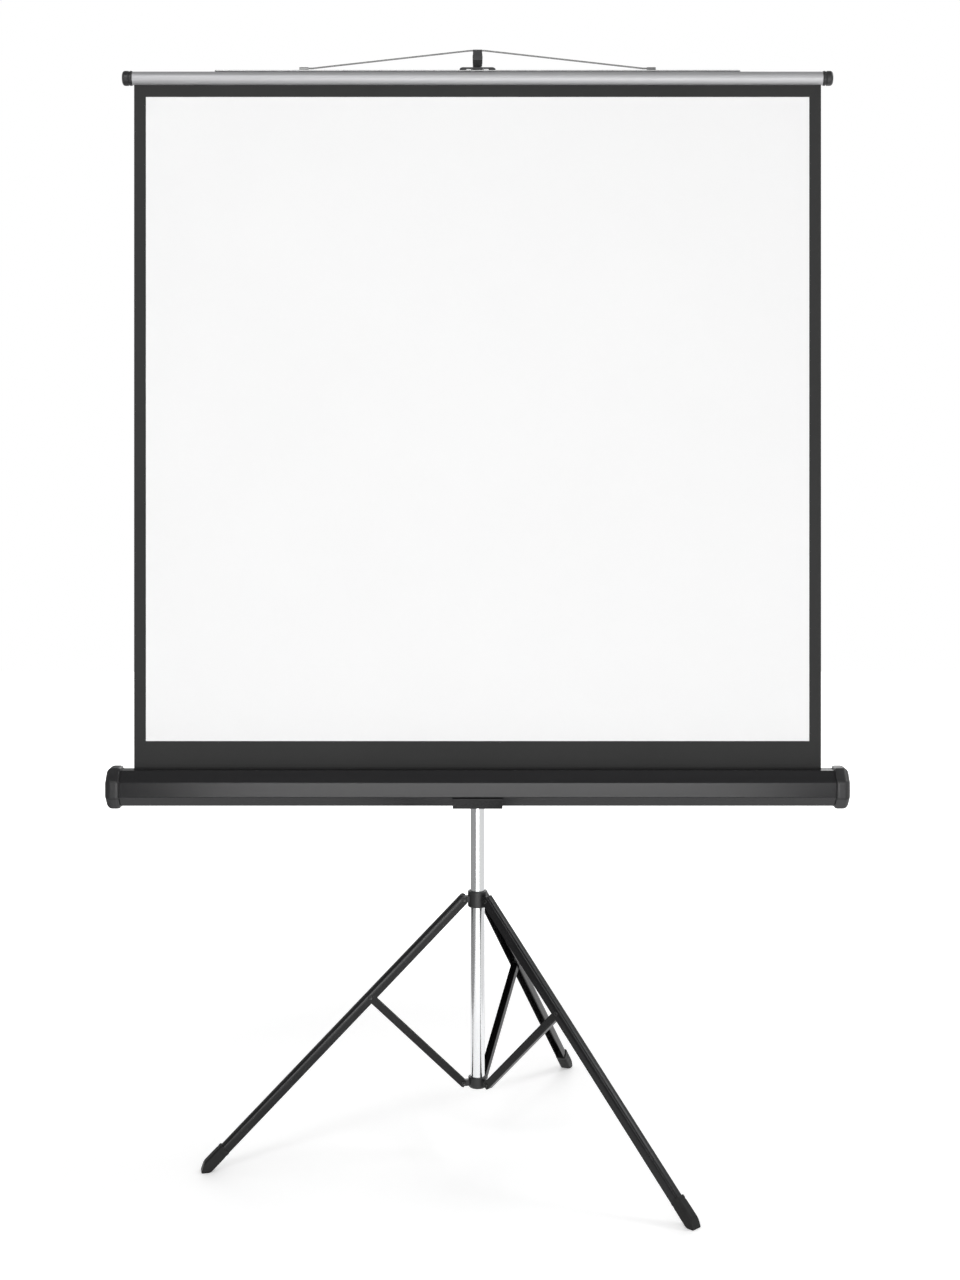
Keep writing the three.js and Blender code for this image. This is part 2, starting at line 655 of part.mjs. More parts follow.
assembly.add(named("hook_head", hookHead, black()));

// Carriage that slides on the pole, its knob and the pivot bolt of the case
const saddleApothem = CASE_APOTHEM + SEAT_GAP;
const saddleBackY = CASE_Y + saddleApothem + SADDLE_THICKNESS;
const bossFrontY = saddleBackY + SEAT_GAP;
const pivotHeadY = CASE_Y + CASE_APOTHEM + 2 * SEAT_GAP;
const boltFootY = -POLE_RADIUS - PIVOT_BOLT_COVER;
const carriageBody = joined(
  rodZ(CARRIAGE_DIAMETER / 2, CARRIAGE_HEIGHT, TUBE_SIDES).translate(0, 0, CASE_CENTRE_Z),
  rodY(PIVOT_BOSS_RADIUS, -bossFrontY, TUBE_SIDES).translate(0, bossFrontY / 2, CASE_CENTRE_Z),
  knobBoss(CASE_CENTRE_Z),
);
const carriage = cut(
  carriageBody,
  rodZ(POLE_RADIUS + RUNNING_GAP, CARRIAGE_HEIGHT * 2, TUBE_SIDES).translate(0, 0, CASE_CENTRE_Z),
  rodY(PIVOT_BOLT_RADIUS + PIN_GAP, CASE_FORWARD, HOLE_SIDES).translate(
    0,
    boltFootY + SEAT_GAP - CASE_FORWARD / 2,
    CASE_CENTRE_Z,
  ),
  knobHole(CASE_CENTRE_Z),
);
assembly.add(named("carriage", carriage, black()));

const caseKnobStart = POLE_RADIUS + SEAT_GAP;
const caseKnob = named("case_knob", knobGeometry(KNOB_BOSS_REACH + SEAT_GAP - caseKnobStart), black());
caseKnob.position.set(0, caseKnobStart, CASE_CENTRE_Z);
assembly.add(caseKnob);

const boltLength = boltFootY - pivotHeadY;
const pivotBolt = joined(
  rodY(PIVOT_BOLT_RADIUS, boltLength, HOLE_SIDES).translate(0, boltFootY - boltLength / 2, CASE_CENTRE_Z),
  rodY(PIVOT_HEAD_RADIUS, PIVOT_HEAD, BOSS_SIDES).translate(0, pivotHeadY + PIVOT_HEAD / 2, CASE_CENTRE_Z),
);
assembly.add(named("case_pivot_bolt", pivotBolt, steel()));

// Case: shell with its slot, saddle and rivets, end caps and screws
const caseGroup = new THREE.Group();
caseGroup.position.set(0, CASE_Y, CASE_CENTRE_Z);
assembly.add(caseGroup);

const slotY = FABRIC_Y - CASE_Y;
const innerApothem = CASE_APOTHEM - CASE_WALL;
const shellOutline = [
  [slotY - CASE_SLOT / 2, CASE_APOTHEM],
  ...octagon(CASE_APOTHEM),
  [slotY + CASE_SLOT / 2, CASE_APOTHEM],
  [slotY + CASE_SLOT / 2, CASE_APOTHEM - SLOT_LIP],
  [slotY + CASE_SLOT / 2 + CASE_WALL, CASE_APOTHEM - SLOT_LIP],
  [slotY + CASE_SLOT / 2 + CASE_WALL, innerApothem],
  ...octagon(innerApothem).reverse(),
  [slotY - CASE_SLOT / 2 - CASE_WALL, innerApothem],
  [slotY - CASE_SLOT / 2 - CASE_WALL, CASE_APOTHEM - SLOT_LIP],
  [slotY - CASE_SLOT / 2, CASE_APOTHEM - SLOT_LIP],
];
const rivetHole = (side) =>
  rodZ(RIVET_RADIUS + PIN_GAP, SADDLE_THICKNESS * 5, HOLE_SIDES).translate(
    side * SADDLE_RIVET_SPREAD,
    0,
    -CASE_APOTHEM,
  );
const shell = cut(alongX(prism(shellOutline, 2 * CASE_HALF)), ...ENDS.map(rivetHole));
caseGroup.add(named("case_shell", shell, greySteel()));

const saddleOutline = [
  ...saddleCorners(saddleApothem + SADDLE_THICKNESS),
  ...saddleCorners(saddleApothem).reverse(),
];
const boltHole = rodY(PIVOT_BOLT_RADIUS + PIN_GAP, CASE_ACROSS_FLATS, HOLE_SIDES);
const headPocket = rodY(PIVOT_HEAD_RADIUS + RUNNING_GAP, 2 * (PIVOT_HEAD + 2 * SEAT_GAP), BOSS_SIDES);
const saddle = cut(
  alongX(prism(saddleOutline, SADDLE_WIDTH)),
  boltHole.translate(0, saddleApothem + CASE_APOTHEM / 2, 0),
  headPocket.translate(0, saddleApothem, 0),
  ...ENDS.map(rivetHole),
);
caseGroup.add(named("case_saddle", saddle, blackSteel()));

ENDS.forEach((side) => {
  const low = -saddleApothem - SADDLE_THICKNESS - SEAT_GAP - RIVET_HEAD;
  const high = -innerApothem + SEAT_GAP + RIVET_HEAD;
  const rivet = joined(
    rodZ(RIVET_RADIUS, high - low, PIN_SIDES).translate(0, 0, (high + low) / 2),
    rodZ(RIVET_HEAD_RADIUS, RIVET_HEAD, PIN_SIDES).translate(0, 0, low + RIVET_HEAD / 2),
    rodZ(RIVET_HEAD_RADIUS, RIVET_HEAD, PIN_SIDES).translate(0, 0, high - RIVET_HEAD / 2),
  );
  const piece = named(`saddle_rivet_${handOf(side)}`, rivet, steel());
  piece.position.x = side * SADDLE_RIVET_SPREAD;
  caseGroup.add(piece);
});

const capInsetX = CASE_OVERALL / 2 - CAP_LENGTH;
const capFaceX = CASE_OVERALL / 2 - CAP_ROUND;
const bracketX = CASE_HALF - CAP_LENGTH / 2;
const screwHeadX = CASE_OVERALL / 2 - SCREW_HEAD - SCREW_SINK;
const rollerY = ROLLER_Y - CASE_Y;
const slotReliefWidth = CASE_SLOT + 2 * SLOT_RELIEF_SIDE;
const slotReliefHeight = 2 * (SLOT_LIP + SLOT_RELIEF_DEPTH);

function capGeometry(side) {
  const shape = new THREE.Shape(octagon(CAP_ACROSS_FLATS / 2).map(([u, v]) => new THREE.Vector2(u, v)));
  const bulk = new THREE.ExtrudeGeometry(shape, {
    depth: capFaceX - capInsetX,
    bevelEnabled: true,
    bevelThickness: CAP_ROUND,
    bevelSize: CAP_ROUND,
    bevelOffset: -CAP_ROUND,
    bevelSegments: 4,
  });
  const body = alongX(bulk).translate(capInsetX, 0, 0);
  const behind = new THREE.BoxGeometry(CAP_LENGTH * 2, CAP_ACROSS_FLATS * 2, CAP_ACROSS_FLATS * 2);
  const socket = alongX(prism(octagon(CASE_APOTHEM + SEAT_GAP), CAP_LENGTH * 2));
  const hollow = alongX(prism(octagon(CASE_APOTHEM - CAP_ROUND), CAP_LENGTH * 2));
  const drills = ENDS.flatMap((up) => [
    rodX(SCREW_RADIUS + PIN_GAP, CAP_LENGTH * 2, PIN_SIDES).translate(
      CASE_OVERALL / 2,
      0,
      up * CAP_SCREW_SPREAD,
    ),
    rodX(SCREW_HEAD_RADIUS + PIN_GAP, CAP_LENGTH, HOLE_SIDES).translate(
      screwHeadX - SEAT_GAP + CAP_LENGTH / 2,
      0,
      up * CAP_SCREW_SPREAD,
    ),
  ]);
  const cap = cut(
    body,
    behind.translate(capInsetX - CAP_LENGTH, 0, 0),
    socket.translate(CASE_HALF + SEAT_GAP - CAP_LENGTH, 0, 0),
    hollow.translate(capFaceX + CAP_ROUND - 2 * CAP_FACE - SCREW_HEAD - CAP_LENGTH, 0, 0),
    ...drills,
  );
  return side < 0 ? halfTurned(cap) : cap;
}

function screwGeometry(side) {
  const tip = bracketX - BRACKET_THICKNESS;
  const shank = rodX(SCREW_RADIUS, screwHeadX - tip, PIN_SIDES).translate((screwHeadX + tip) / 2, 0, 0);
  const head = rodX(SCREW_HEAD_RADIUS, SCREW_HEAD, PIN_SIDES).translate(screwHeadX + SCREW_HEAD / 2, 0, 0);
  const screw = joined(shank, head);
  return side < 0 ? halfTurned(screw) : screw;
}

ENDS.forEach((side) => {
  const hand = handOf(side);
  caseGroup.add(named(`end_cap_${hand}`, capGeometry(side), black()));
  ENDS.forEach((up) => {
    const screw = named(`cap_screw_${hand}_${up < 0 ? "lower" : "upper"}`, screwGeometry(side), steel());
    screw.position.z = up * CAP_SCREW_SPREAD;
    caseGroup.add(screw);
  });

  const plate = alongX(prism(octagon(innerApothem - SEAT_GAP), BRACKET_THICKNESS));
  const slotRelief = new THREE.BoxGeometry(BRACKET_THICKNESS * 3, slotReliefWidth, slotReliefHeight);
  const socket =
    side < 0
      ? new THREE.BoxGeometry(
          BRACKET_THICKNESS * 3,
          MANDREL_SQUARE + 2 * PIN_GAP,
          MANDREL_SQUARE + 2 * PIN_GAP,
        )
      : rodX(MANDREL_RADIUS + PIN_GAP, BRACKET_THICKNESS * 3, HOLE_SIDES);
  const bracket = cut(
    plate,
    slotRelief.translate(0, slotY, innerApothem),
    socket.translate(0, rollerY, 0),
    ...ENDS.map((up) =>
      rodX(SCREW_RADIUS + PIN_GAP, BRACKET_THICKNESS * 3, PIN_SIDES).translate(0, 0, up * CAP_SCREW_SPREAD),
    ),
  );
  const piece = named(`roller_bracket_${hand}`, bracket, steel());
  piece.position.x = side * bracketX;
  caseGroup.add(piece);
});

// Spring roller inside the case
const rollerGroup = new THREE.Group();
rollerGroup.position.set(0, rollerY, 0);
caseGroup.add(rollerGroup);

const rollerInner = ROLLER_RADIUS - ROLLER_WALL;
const rollerTube = sleeveX(ROLLER_RADIUS, rollerInner, ROLLER_LENGTH, TUBE_SIDES);
rollerGroup.add(named("roller_tube", rollerTube, steel()));
const wraps = sleeveX(WRAP_RADIUS, ROLLER_RADIUS + SEAT_GAP, FABRIC_WIDTH, TUBE_SIDES);
rollerGroup.add(named("fabric_wraps", wraps, matteWhite()));

const mandrelTail = -bracketX - BRACKET_THICKNESS;
const mandrelTip = -ROLLER_LENGTH / 2 + MANDREL_REACH;
const squareLength = BRACKET_THICKNESS + CAP_LENGTH / 2;
const mandrel = joined(
  rodX(MANDREL_RADIUS, mandrelTip - mandrelTail - squareLength, HOLE_SIDES).translate(
    (mandrelTip + mandrelTail + squareLength) / 2,
    0,
    0,
  ),
  new THREE.BoxGeometry(squareLength + MANDREL_OVERLAP, MANDREL_SQUARE, MANDREL_SQUARE).translate(
    mandrelTail + (squareLength + MANDREL_OVERLAP) / 2,
    0,
    0,
  ),
);
rollerGroup.add(named("spring_mandrel", mandrel, steel()));

const plugOuter = rollerInner - SEAT_GAP;
const leftPlug = named(
  "roller_plug_left",
  sleeveX(plugOuter, MANDREL_RADIUS + PIN_GAP, PLUG_THICKNESS, TUBE_SIDES),
  nylon(),
);
leftPlug.position.x = (PLUG_THICKNESS - ROLLER_LENGTH) / 2 + PLUG_INSET;
rollerGroup.add(leftPlug);

const springAnchor = named(
  "spring_anchor",
  sleeveX(plugOuter, MANDREL_RADIUS + PIN_GAP, PLUG_THICKNESS, TUBE_SIDES),
  steel(),
);
springAnchor.position.x = mandrelTip - PLUG_THICKNESS;
rollerGroup.add(springAnchor);

const springPiece = named(
  "roller_spring",
  sleeveX(SPRING_RADIUS, SPRING_RADIUS - SPRING_WALL, SPRING_LENGTH, BOSS_SIDES),
  steel(),
);
springPiece.position.x = mandrelTip - 1.5 * PLUG_THICKNESS - SEAT_GAP - SPRING_LENGTH / 2;
rollerGroup.add(springPiece);

const pinTip = bracketX + BRACKET_THICKNESS;
const plugFace = ROLLER_LENGTH / 2 - PLUG_THICKNESS - PLUG_INSET;
const rightPlug = joined(
  rodX(plugOuter, PLUG_THICKNESS, TUBE_SIDES).translate(plugFace + PLUG_THICKNESS / 2, 0, 0),
  rodX(MANDREL_RADIUS, pinTip - plugFace, HOLE_SIDES).translate((pinTip + plugFace) / 2, 0, 0),
);
rollerGroup.add(named("roller_plug_right", rightPlug, nylon()));

// Fabric, slat and slat fittings
const fabricTop = SLAT_CENTRE_Z - SLAT_RADIUS + SLAT_GROOVE_DEPTH - SEAT_GAP;
const fabric = named(
  "screen_fabric",
  new THREE.BoxGeometry(FABRIC_WIDTH, FABRIC_THICKNESS, fabricTop - CASE_CENTRE_Z),
  matteWhite(),
);
fabric.position.set(0, FABRIC_Y, (fabricTop + CASE_CENTRE_Z) / 2);
assembly.add(fabric);

const slatGroup = new THREE.Group();
slatGroup.position.set(0, FABRIC_Y, SLAT_CENTRE_Z);
assembly.add(slatGroup);

const flatAngle = THREE.MathUtils.radToDeg(Math.acos(SLAT_FLAT / SLAT_RADIUS));
const grooveAngle = THREE.MathUtils.radToDeg(Math.asin(SLAT_GROOVE / 2 / SLAT_RADIUS));
const slatOutline = [
  ...arc(0, 0, SLAT_RADIUS, flatAngle, 270 - grooveAngle, 16),
  [-SLAT_GROOVE / 2, SLAT_GROOVE_DEPTH - SLAT_RADIUS],
  [SLAT_GROOVE / 2, SLAT_GROOVE_DEPTH - SLAT_RADIUS],
  ...arc(0, 0, SLAT_RADIUS, 270 + grooveAngle, 360 - flatAngle, 4),
];
const boreRadius = SLAT_RADIUS - SLAT_WALL;
const boreFlat = SLAT_FLAT - SLAT_WALL;
const boreFloor = SLAT_GROOVE_DEPTH - SLAT_RADIUS + SLAT_WALL;
const boreTopAngle = THREE.MathUtils.radToDeg(Math.acos(boreFlat / boreRadius));
const boreLowAngle = 180 + THREE.MathUtils.radToDeg(Math.asin(-boreFloor / boreRadius));
const slatBore = [...arc(0, 0, boreRadius, boreTopAngle, boreLowAngle, 12), [boreFlat, boreFloor]];
slatGroup.add(named("slat_bar", alongX(prism(slatOutline, SLAT_LENGTH, [slatBore])), alloy()));

function slatCapGeometry() {
  const rim = arc(0, 0, SLAT_CAP_RADIUS, 0, 340, 17);
  const shape = new THREE.Shape(rim.map(([u, v]) => new THREE.Vector2(u, v)));
  const disc = new THREE.ExtrudeGeometry(shape, {
    depth: SLAT_CAP_LENGTH - 2 * SLAT_CAP_ROUND,
    bevelEnabled: true,
    bevelThickness: SLAT_CAP_ROUND,
    bevelSize: SLAT_CAP_ROUND,
    bevelOffset: -SLAT_CAP_ROUND,
    bevelSegments: 2,
  });
  return alongX(disc.translate(0, 0, SLAT_CAP_ROUND - SLAT_CAP_LENGTH / 2));
}

ENDS.forEach((side) => {
  const hand = handOf(side);
  const cap = named(`slat_cap_${hand}`, slatCapGeometry(), black());
  cap.position.x = side * (SLAT_LENGTH / 2 + SEAT_GAP + SLAT_CAP_LENGTH / 2);
  slatGroup.add(cap);

  const clip = cut(
    new THREE.BoxGeometry(CLIP_LENGTH, CLIP_WIDTH, CLIP_HEIGHT),
    rodX(BAIL_WIRE_RADIUS + PIN_GAP, CLIP_LENGTH * 2, PIN_SIDES),
  );
  const piece = named(`bail_clip_${hand}`, clip, steel());
  piece.position.set(side * (BAIL_HALF_SPAN + CLIP_LENGTH / 2), 0, BAIL_AXIS_Z - SLAT_CENTRE_Z);
  slatGroup.add(piece);
});

const stripBar = new THREE.BoxGeometry(STRIP_LENGTH, STRIP_WIDTH, STRIP_THICKNESS);
const strip = named("bail_strip", stripBar, steel());
strip.position.z = STRIP_TOP_Z - STRIP_THICKNESS / 2 - SLAT_CENTRE_Z;
slatGroup.add(strip);

const gripHalf = GRIP_LENGTH / 2;
const gripOutline = [
  [-gripHalf, 0],
  [-GRIP_POST / 2 - GRIP_WINDOW, 0],
  [-GRIP_POST / 2 - GRIP_WINDOW + GRIP_WINDOW_SLOPE, GRIP_WINDOW_HEIGHT],
  [-GRIP_POST / 2 - GRIP_WINDOW_SLOPE, GRIP_WINDOW_HEIGHT],
  [-GRIP_POST / 2, 0],
  [GRIP_POST / 2, 0],
  [GRIP_POST / 2 + GRIP_WINDOW_SLOPE, GRIP_WINDOW_HEIGHT],
  [GRIP_POST / 2 + GRIP_WINDOW - GRIP_WINDOW_SLOPE, GRIP_WINDOW_HEIGHT],
  [GRIP_POST / 2 + GRIP_WINDOW, 0],
  [gripHalf, 0],
  ...arc(gripHalf - GRIP_HEIGHT, 0, GRIP_HEIGHT, 30, 90, 3),
  ...arc(GRIP_HEIGHT - gripHalf, 0, GRIP_HEIGHT, 90, 150, 3),
];
const slatGrip = named("slat_grip", alongY(prism(gripOutline, GRIP_DEPTH)), black());
slatGrip.position.z = STRIP_TOP_Z + SEAT_GAP - SLAT_CENTRE_Z;
slatGroup.add(slatGrip);

// Wire bail, hung over the hook
class WirePath extends THREE.Curve {
  constructor(corners) {
    super();
    this.corners = corners;
  }

  getSpacedPoints() {
    return this.corners;
  }

  getTangentAt(along, target = new THREE.Vector3()) {
    const at = Math.round(along * (this.corners.length - 1));
    const before = this.corners[Math.max(at - 1, 0)];
    const after = this.corners[Math.min(at + 1, this.corners.length - 1)];
    return target.subVectors(after, before).normalize();
  }
}

const bailCorners = [
  new THREE.Vector3(-BAIL_HALF_SPAN - BAIL_STUB, 0, 0),
  new THREE.Vector3(-BAIL_HALF_SPAN + BAIL_STUB / 2, 0, 0),
  new THREE.Vector3(-BAIL_HALF_SPAN / 2, BAIL_LEAN / 2, BAIL_RISE / 2),
  new THREE.Vector3(-BAIL_FLAT, BAIL_LEAN, BAIL_RISE),
  new THREE.Vector3(BAIL_FLAT, BAIL_LEAN, BAIL_RISE),
  new THREE.Vector3(BAIL_HALF_SPAN / 2, BAIL_LEAN / 2, BAIL_RISE / 2),
  new THREE.Vector3(BAIL_HALF_SPAN - BAIL_STUB / 2, 0, 0),
  new THREE.Vector3(BAIL_HALF_SPAN + BAIL_STUB, 0, 0),
];
const wireSection = arc(0, 0, BAIL_WIRE_RADIUS, 0, 324, 9);
const wireShape = new THREE.Shape(wireSection.map(([u, v]) => new THREE.Vector2(u, v)));
const wire = new THREE.ExtrudeGeometry(wireShape, {
  steps: bailCorners.length - 1,
  extrudePath: new WirePath(bailCorners),
});
const bail = named("bail_wire", wire, steel());
bail.position.set(0, FABRIC_Y, BAIL_AXIS_Z);
assembly.add(bail);

// Stand the assembly on the floor with the origin under the middle of its box.
screen.updateMatrixWorld(true);
const box = new THREE.Box3().setFromObject(screen, true);
const middle = box.getCenter(new THREE.Vector3());
assembly.position.set(-middle.x, -middle.y, -box.min.z);

export default screen;
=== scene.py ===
import json
import math

import bmesh
import bpy
import numpy as np
from bpy.props import FloatProperty, FloatVectorProperty, PointerProperty
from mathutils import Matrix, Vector


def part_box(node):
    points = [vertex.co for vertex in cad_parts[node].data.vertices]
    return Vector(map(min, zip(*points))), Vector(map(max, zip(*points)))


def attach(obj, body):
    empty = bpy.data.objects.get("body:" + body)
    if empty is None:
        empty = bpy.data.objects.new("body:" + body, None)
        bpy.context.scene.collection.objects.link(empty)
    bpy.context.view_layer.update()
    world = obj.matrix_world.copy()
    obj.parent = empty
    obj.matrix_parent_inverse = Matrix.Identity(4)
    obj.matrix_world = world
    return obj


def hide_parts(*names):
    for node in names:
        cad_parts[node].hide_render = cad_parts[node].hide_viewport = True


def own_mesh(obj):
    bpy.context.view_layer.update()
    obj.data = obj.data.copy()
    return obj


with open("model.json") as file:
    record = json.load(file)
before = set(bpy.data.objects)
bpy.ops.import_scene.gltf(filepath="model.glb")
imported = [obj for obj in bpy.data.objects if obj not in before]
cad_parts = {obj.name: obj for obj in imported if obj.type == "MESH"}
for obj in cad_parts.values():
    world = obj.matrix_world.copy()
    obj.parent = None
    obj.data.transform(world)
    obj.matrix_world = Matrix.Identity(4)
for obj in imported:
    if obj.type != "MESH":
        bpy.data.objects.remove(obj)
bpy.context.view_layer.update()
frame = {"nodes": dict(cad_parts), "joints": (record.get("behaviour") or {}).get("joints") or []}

bl_info = {
    "name": "Tripod projection screen",
    "version": (1, 0, 0),
    "blender": (4, 5, 0),
    "location": "View3D > Sidebar > Screen",
    "description": "Finished surfaces for a portable projection screen on a folding tripod",
    "category": "Object",
}

RIGHT, BACK, UP = np.eye(3)
HANDS = (("left", -RIGHT), ("right", RIGHT))
TURN = 2 * np.pi
CREASE = math.radians(32.0)  # edges that turn more than this are rounded or kept sharp
FIXED_BORE = 0.0163  # inner radius of what is fixed on the pole
SLIDING_BORE = 0.0166  # inner radius of what slides on the pole
EVEN = (1.0, 1.0, 1.0)
WHITE = (1.0, 1.0, 1.0, 1.0)
BLACK = (0.0, 0.0, 0.0, 1.0)


def corners_of(node):
    """Lowest and highest corner of a CAD node."""
    low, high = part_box(node)
    return np.array(low), np.array(high)


def middle_of(node):
    """Centre of a CAD node's box."""
    low, high = corners_of(node)
    return (low + high) / 2


def unit(vectors):
    """A vector, or each row of vectors, at length one."""
    return vectors / np.linalg.norm(vectors, axis=-1, keepdims=True)


POLE_AXIS = middle_of("pole_tube") * (RIGHT + BACK)
CASE_CENTRE = middle_of("case_shell") * (BACK + UP)
SLAT_CENTRE = middle_of("slat_cap_left") * (BACK + UP)
ROLLER_AXIS = middle_of("roller_tube") * (BACK + UP)
FABRIC_LOW, FABRIC_HIGH = corners_of("screen_fabric")
FABRIC_Y = middle_of("screen_fabric")[1]
HINGE_AXES = {joint["name"]: np.array(joint["axis"], float) for joint in frame["joints"]}


def on_pole(z):
    """The point of the pole's axis at a height."""
    return POLE_AXIS + z * UP


class ScreenSizes(bpy.types.PropertyGroup):
    """Sizes of the finished surfaces."""

    edge_round: FloatProperty(
        name="Edge rounding", description="Rounding of moulded edges", default=0.0007, unit="LENGTH"
    )
    case_fold: FloatProperty(
        name="Case fold radius", description="Outside radius of the folds along the roller case",
        default=0.0032, unit="LENGTH",
    )
    case_wall: FloatProperty(
        name="Case wall", description="Thickness of the roller case's sheet", default=0.001, unit="LENGTH"
    )
    leg_width: FloatProperty(
        name="Leg width", description="Outside width of a leg channel", default=0.022, unit="LENGTH"
    )
    leg_wall: FloatProperty(
        name="Leg wall", description="Thickness of a leg channel's sheet", default=0.0015, unit="LENGTH"
    )
    leg_corner: FloatProperty(
        name="Leg corner", description="Outside radius of a leg channel's bends", default=0.006, unit="LENGTH"
    )
    leg_crown: FloatProperty(
        name="Leg crown", description="Radius of the shallow bulge of a leg channel's sides",
        default=0.03, unit="LENGTH",
    )
    leg_length: FloatProperty(
        name="Leg length", description="From the upper pivot to the leg's lower end",
        default=0.77905, unit="LENGTH",
    )
    brace_width: FloatProperty(
        name="Brace width", description="Outside width of a brace channel", default=0.016, unit="LENGTH"
    )
    brace_wall: FloatProperty(
        name="Brace wall", description="Thickness of a brace channel's sheet", default=0.0012, unit="LENGTH"
    )
    boot_width: FloatProperty(
        name="Boot width", description="Outside width of a rubber boot", default=0.026, unit="LENGTH"
    )
    boot_grip: FloatProperty(
        name="Boot grip", description="Length of leg that a rubber boot covers", default=0.034, unit="LENGTH"
    )
    toe_radius: FloatProperty(
        name="Toe radius", description="From the pole's axis to the outer edge of a sole",
        default=0.6196, unit="LENGTH",
    )
    border_side: FloatProperty(
        name="Side border", description="Width of the black border at each side",
        default=0.0262, unit="LENGTH",
    )
    border_top_z: FloatProperty(
        name="Top border height", description="Height of the top border's lower edge",
        default=2.3637, unit="LENGTH",
    )
    border_bottom_z: FloatProperty(
        name="Bottom border height", description="Height of the bottom border's upper edge",
        default=0.9349, unit="LENGTH",
    )
    wire_radius: FloatProperty(
        name="Bail wire radius", description="Radius of the wire bail", default=0.0018, unit="LENGTH"
    )


class ScreenColours(bpy.types.PropertyGroup):
    """Base colours of the finishes."""

    cloth_white: FloatVectorProperty(
        name="Screen white", description="Matte white of the picture area",
        default=(0.9, 0.9, 0.9, 1.0), size=4, subtype="COLOR",
    )
    cloth_black: FloatVectorProperty(
        name="Border black", description="Printed black of the borders",
        default=(0.038, 0.038, 0.038, 1.0), size=4, subtype="COLOR",
    )
    case_grey: FloatVectorProperty(
        name="Case grey", description="Dark grey paint of the roller case",
        default=(0.016, 0.016, 0.017, 1.0), size=4, subtype="COLOR",
    )
    leg_black: FloatVectorProperty(
        name="Leg black", description="Black paint of the legs and braces",
        default=(0.006, 0.006, 0.0065, 1.0), size=4, subtype="COLOR",
    )
    moulding_black: FloatVectorProperty(
        name="Moulding black", description="Black of the plastic mouldings",
        default=(0.017, 0.017, 0.018, 1.0), size=4, subtype="COLOR",
    )
    chrome: FloatVectorProperty(
        name="Chrome", description="Reflection colour of the plated tubes",
        default=(0.83, 0.84, 0.85, 1.0), size=4, subtype="COLOR",
    )
    alloy: FloatVectorProperty(
        name="Alloy", description="Reflection colour of the slat",
        default=(0.42, 0.42, 0.43, 1.0), size=4, subtype="COLOR",
    )


def skin(rings, around=True, along=False, start=False, end=False):
    """A surface through rows of points: neighbouring points of neighbouring rows make a quad.
    around joins each row's last point to its first, along joins the last row to the first, and
    start and end close the first and the last row with one face."""
    rows, columns = rings.shape[:2]
    index = np.arange(rows * columns).reshape(rows, columns)
    grid = np.vstack([index, index[:1]]) if along else index
    grid = np.hstack([grid, grid[:, :1]]) if around else grid
    quads = np.stack([grid[:-1, :-1], grid[:-1, 1:], grid[1:, 1:], grid[1:, :-1]], axis=-1)
    faces = quads.reshape(-1, 4).tolist()
    if start:
        faces.append(index[0, ::-1].tolist())
    if end:
        faces.append(index[-1].tolist())
    return rings.reshape(-1, 3), faces


def placed(points, origin, x_axis, y_axis, z_axis):
    """Points of a local frame in the shared frame: the origin plus each coordinate times its axis."""
    return origin + points @ np.stack([x_axis, y_axis, z_axis])


def revolved(profile, origin, axis, closed=False, sides=64):
    """A turned surface: each profile pair of radius and height along the axis makes a circle."""
    profile = np.asarray(profile, float)
    angle = np.linspace(0, TURN, sides, endpoint=False)
    first = unit(np.cross(RIGHT if abs(axis[0]) < 0.9 else UP, axis))
    second = np.cross(axis, first)
    around = np.cos(angle)[:, None] * first + np.sin(angle)[:, None] * second
    rings = origin + profile[:, :1, None] * around[None] + profile[:, 1:, None] * axis
    return skin(rings, along=closed)


def circle(angle):
    """Points of a circle of radius one: the cosine and the sine of each angle."""
    return np.stack([np.cos(angle), np.sin(angle)], axis=-1)


def rounded(corners, radius, steps=6):
    """A closed outline whose corners are arcs: each arc's centre is on the corner's bisector, at
    radius over the sine of half the angle, and it runs between the tangent points on both sides."""
    corner = np.asarray(corners, float)
    radius = np.broadcast_to(np.asarray(radius, float), len(corner))[:, None]
    before = unit(np.roll(corner, 1, axis=0) - corner)
    after = unit(np.roll(corner, -1, axis=0) - corner)
    half = np.arccos(np.clip((before * after).sum(axis=1, keepdims=True), -1, 1)) / 2
    bisector = before + after
    bisector = bisector / np.maximum(np.linalg.norm(bisector, axis=1, keepdims=True), 1e-9)
    centre = corner + bisector * radius / np.sin(half)
    first = corner + before * radius / np.tan(half) - centre
    last = corner + after * radius / np.tan(half) - centre
    begin = np.arctan2(first[:, 1], first[:, 0])[:, None]
    sweep = np.arctan2(last[:, 1], last[:, 0])[:, None] - begin
    sweep = (sweep + np.pi) % TURN - np.pi
    angle = begin + sweep * np.linspace(0, 1, steps + 1)
    arcs = centre[:, None] + radius[:, :, None] * circle(angle)
    return arcs.reshape(-1, 2)


def arc(centre, radius, begin, finish, steps):
    """Points of an arc between two angles in degrees."""
    angle = np.radians(np.linspace(begin, finish, steps + 1))
    return np.asarray(centre, float) + radius * circle(angle)


def run_along(line):
    """How far along a line each of its points is: the steps between points, summed."""
    return np.concatenate([[0.0], np.cumsum(np.linalg.norm(np.diff(line, axis=0), axis=1))])


def evenly(outline, count):
    """A closed outline again, as points at even steps along it."""
    ring = np.vstack([outline, outline[:1]])
    run = run_along(ring)
    at = np.linspace(0, run[-1], count, endpoint=False)
    return np.stack([np.interp(at, run, ring[:, 0]), np.interp(at, run, ring[:, 1])], axis=-1)


def without_repeats(line, gap=1e-6):
    """A line without the points that stand on the one before them."""
    return line[np.concatenate([[True], np.linalg.norm(np.diff(line, axis=0), axis=1) > gap])]


def octagon(apothem):
    """Corners of an octagon from the front end of its top side, round by the front."""
    angle = np.pi / 2 + (2 * np.arange(8) + 1) * np.pi / 8
    return apothem / math.cos(math.pi / 8) * circle(angle)


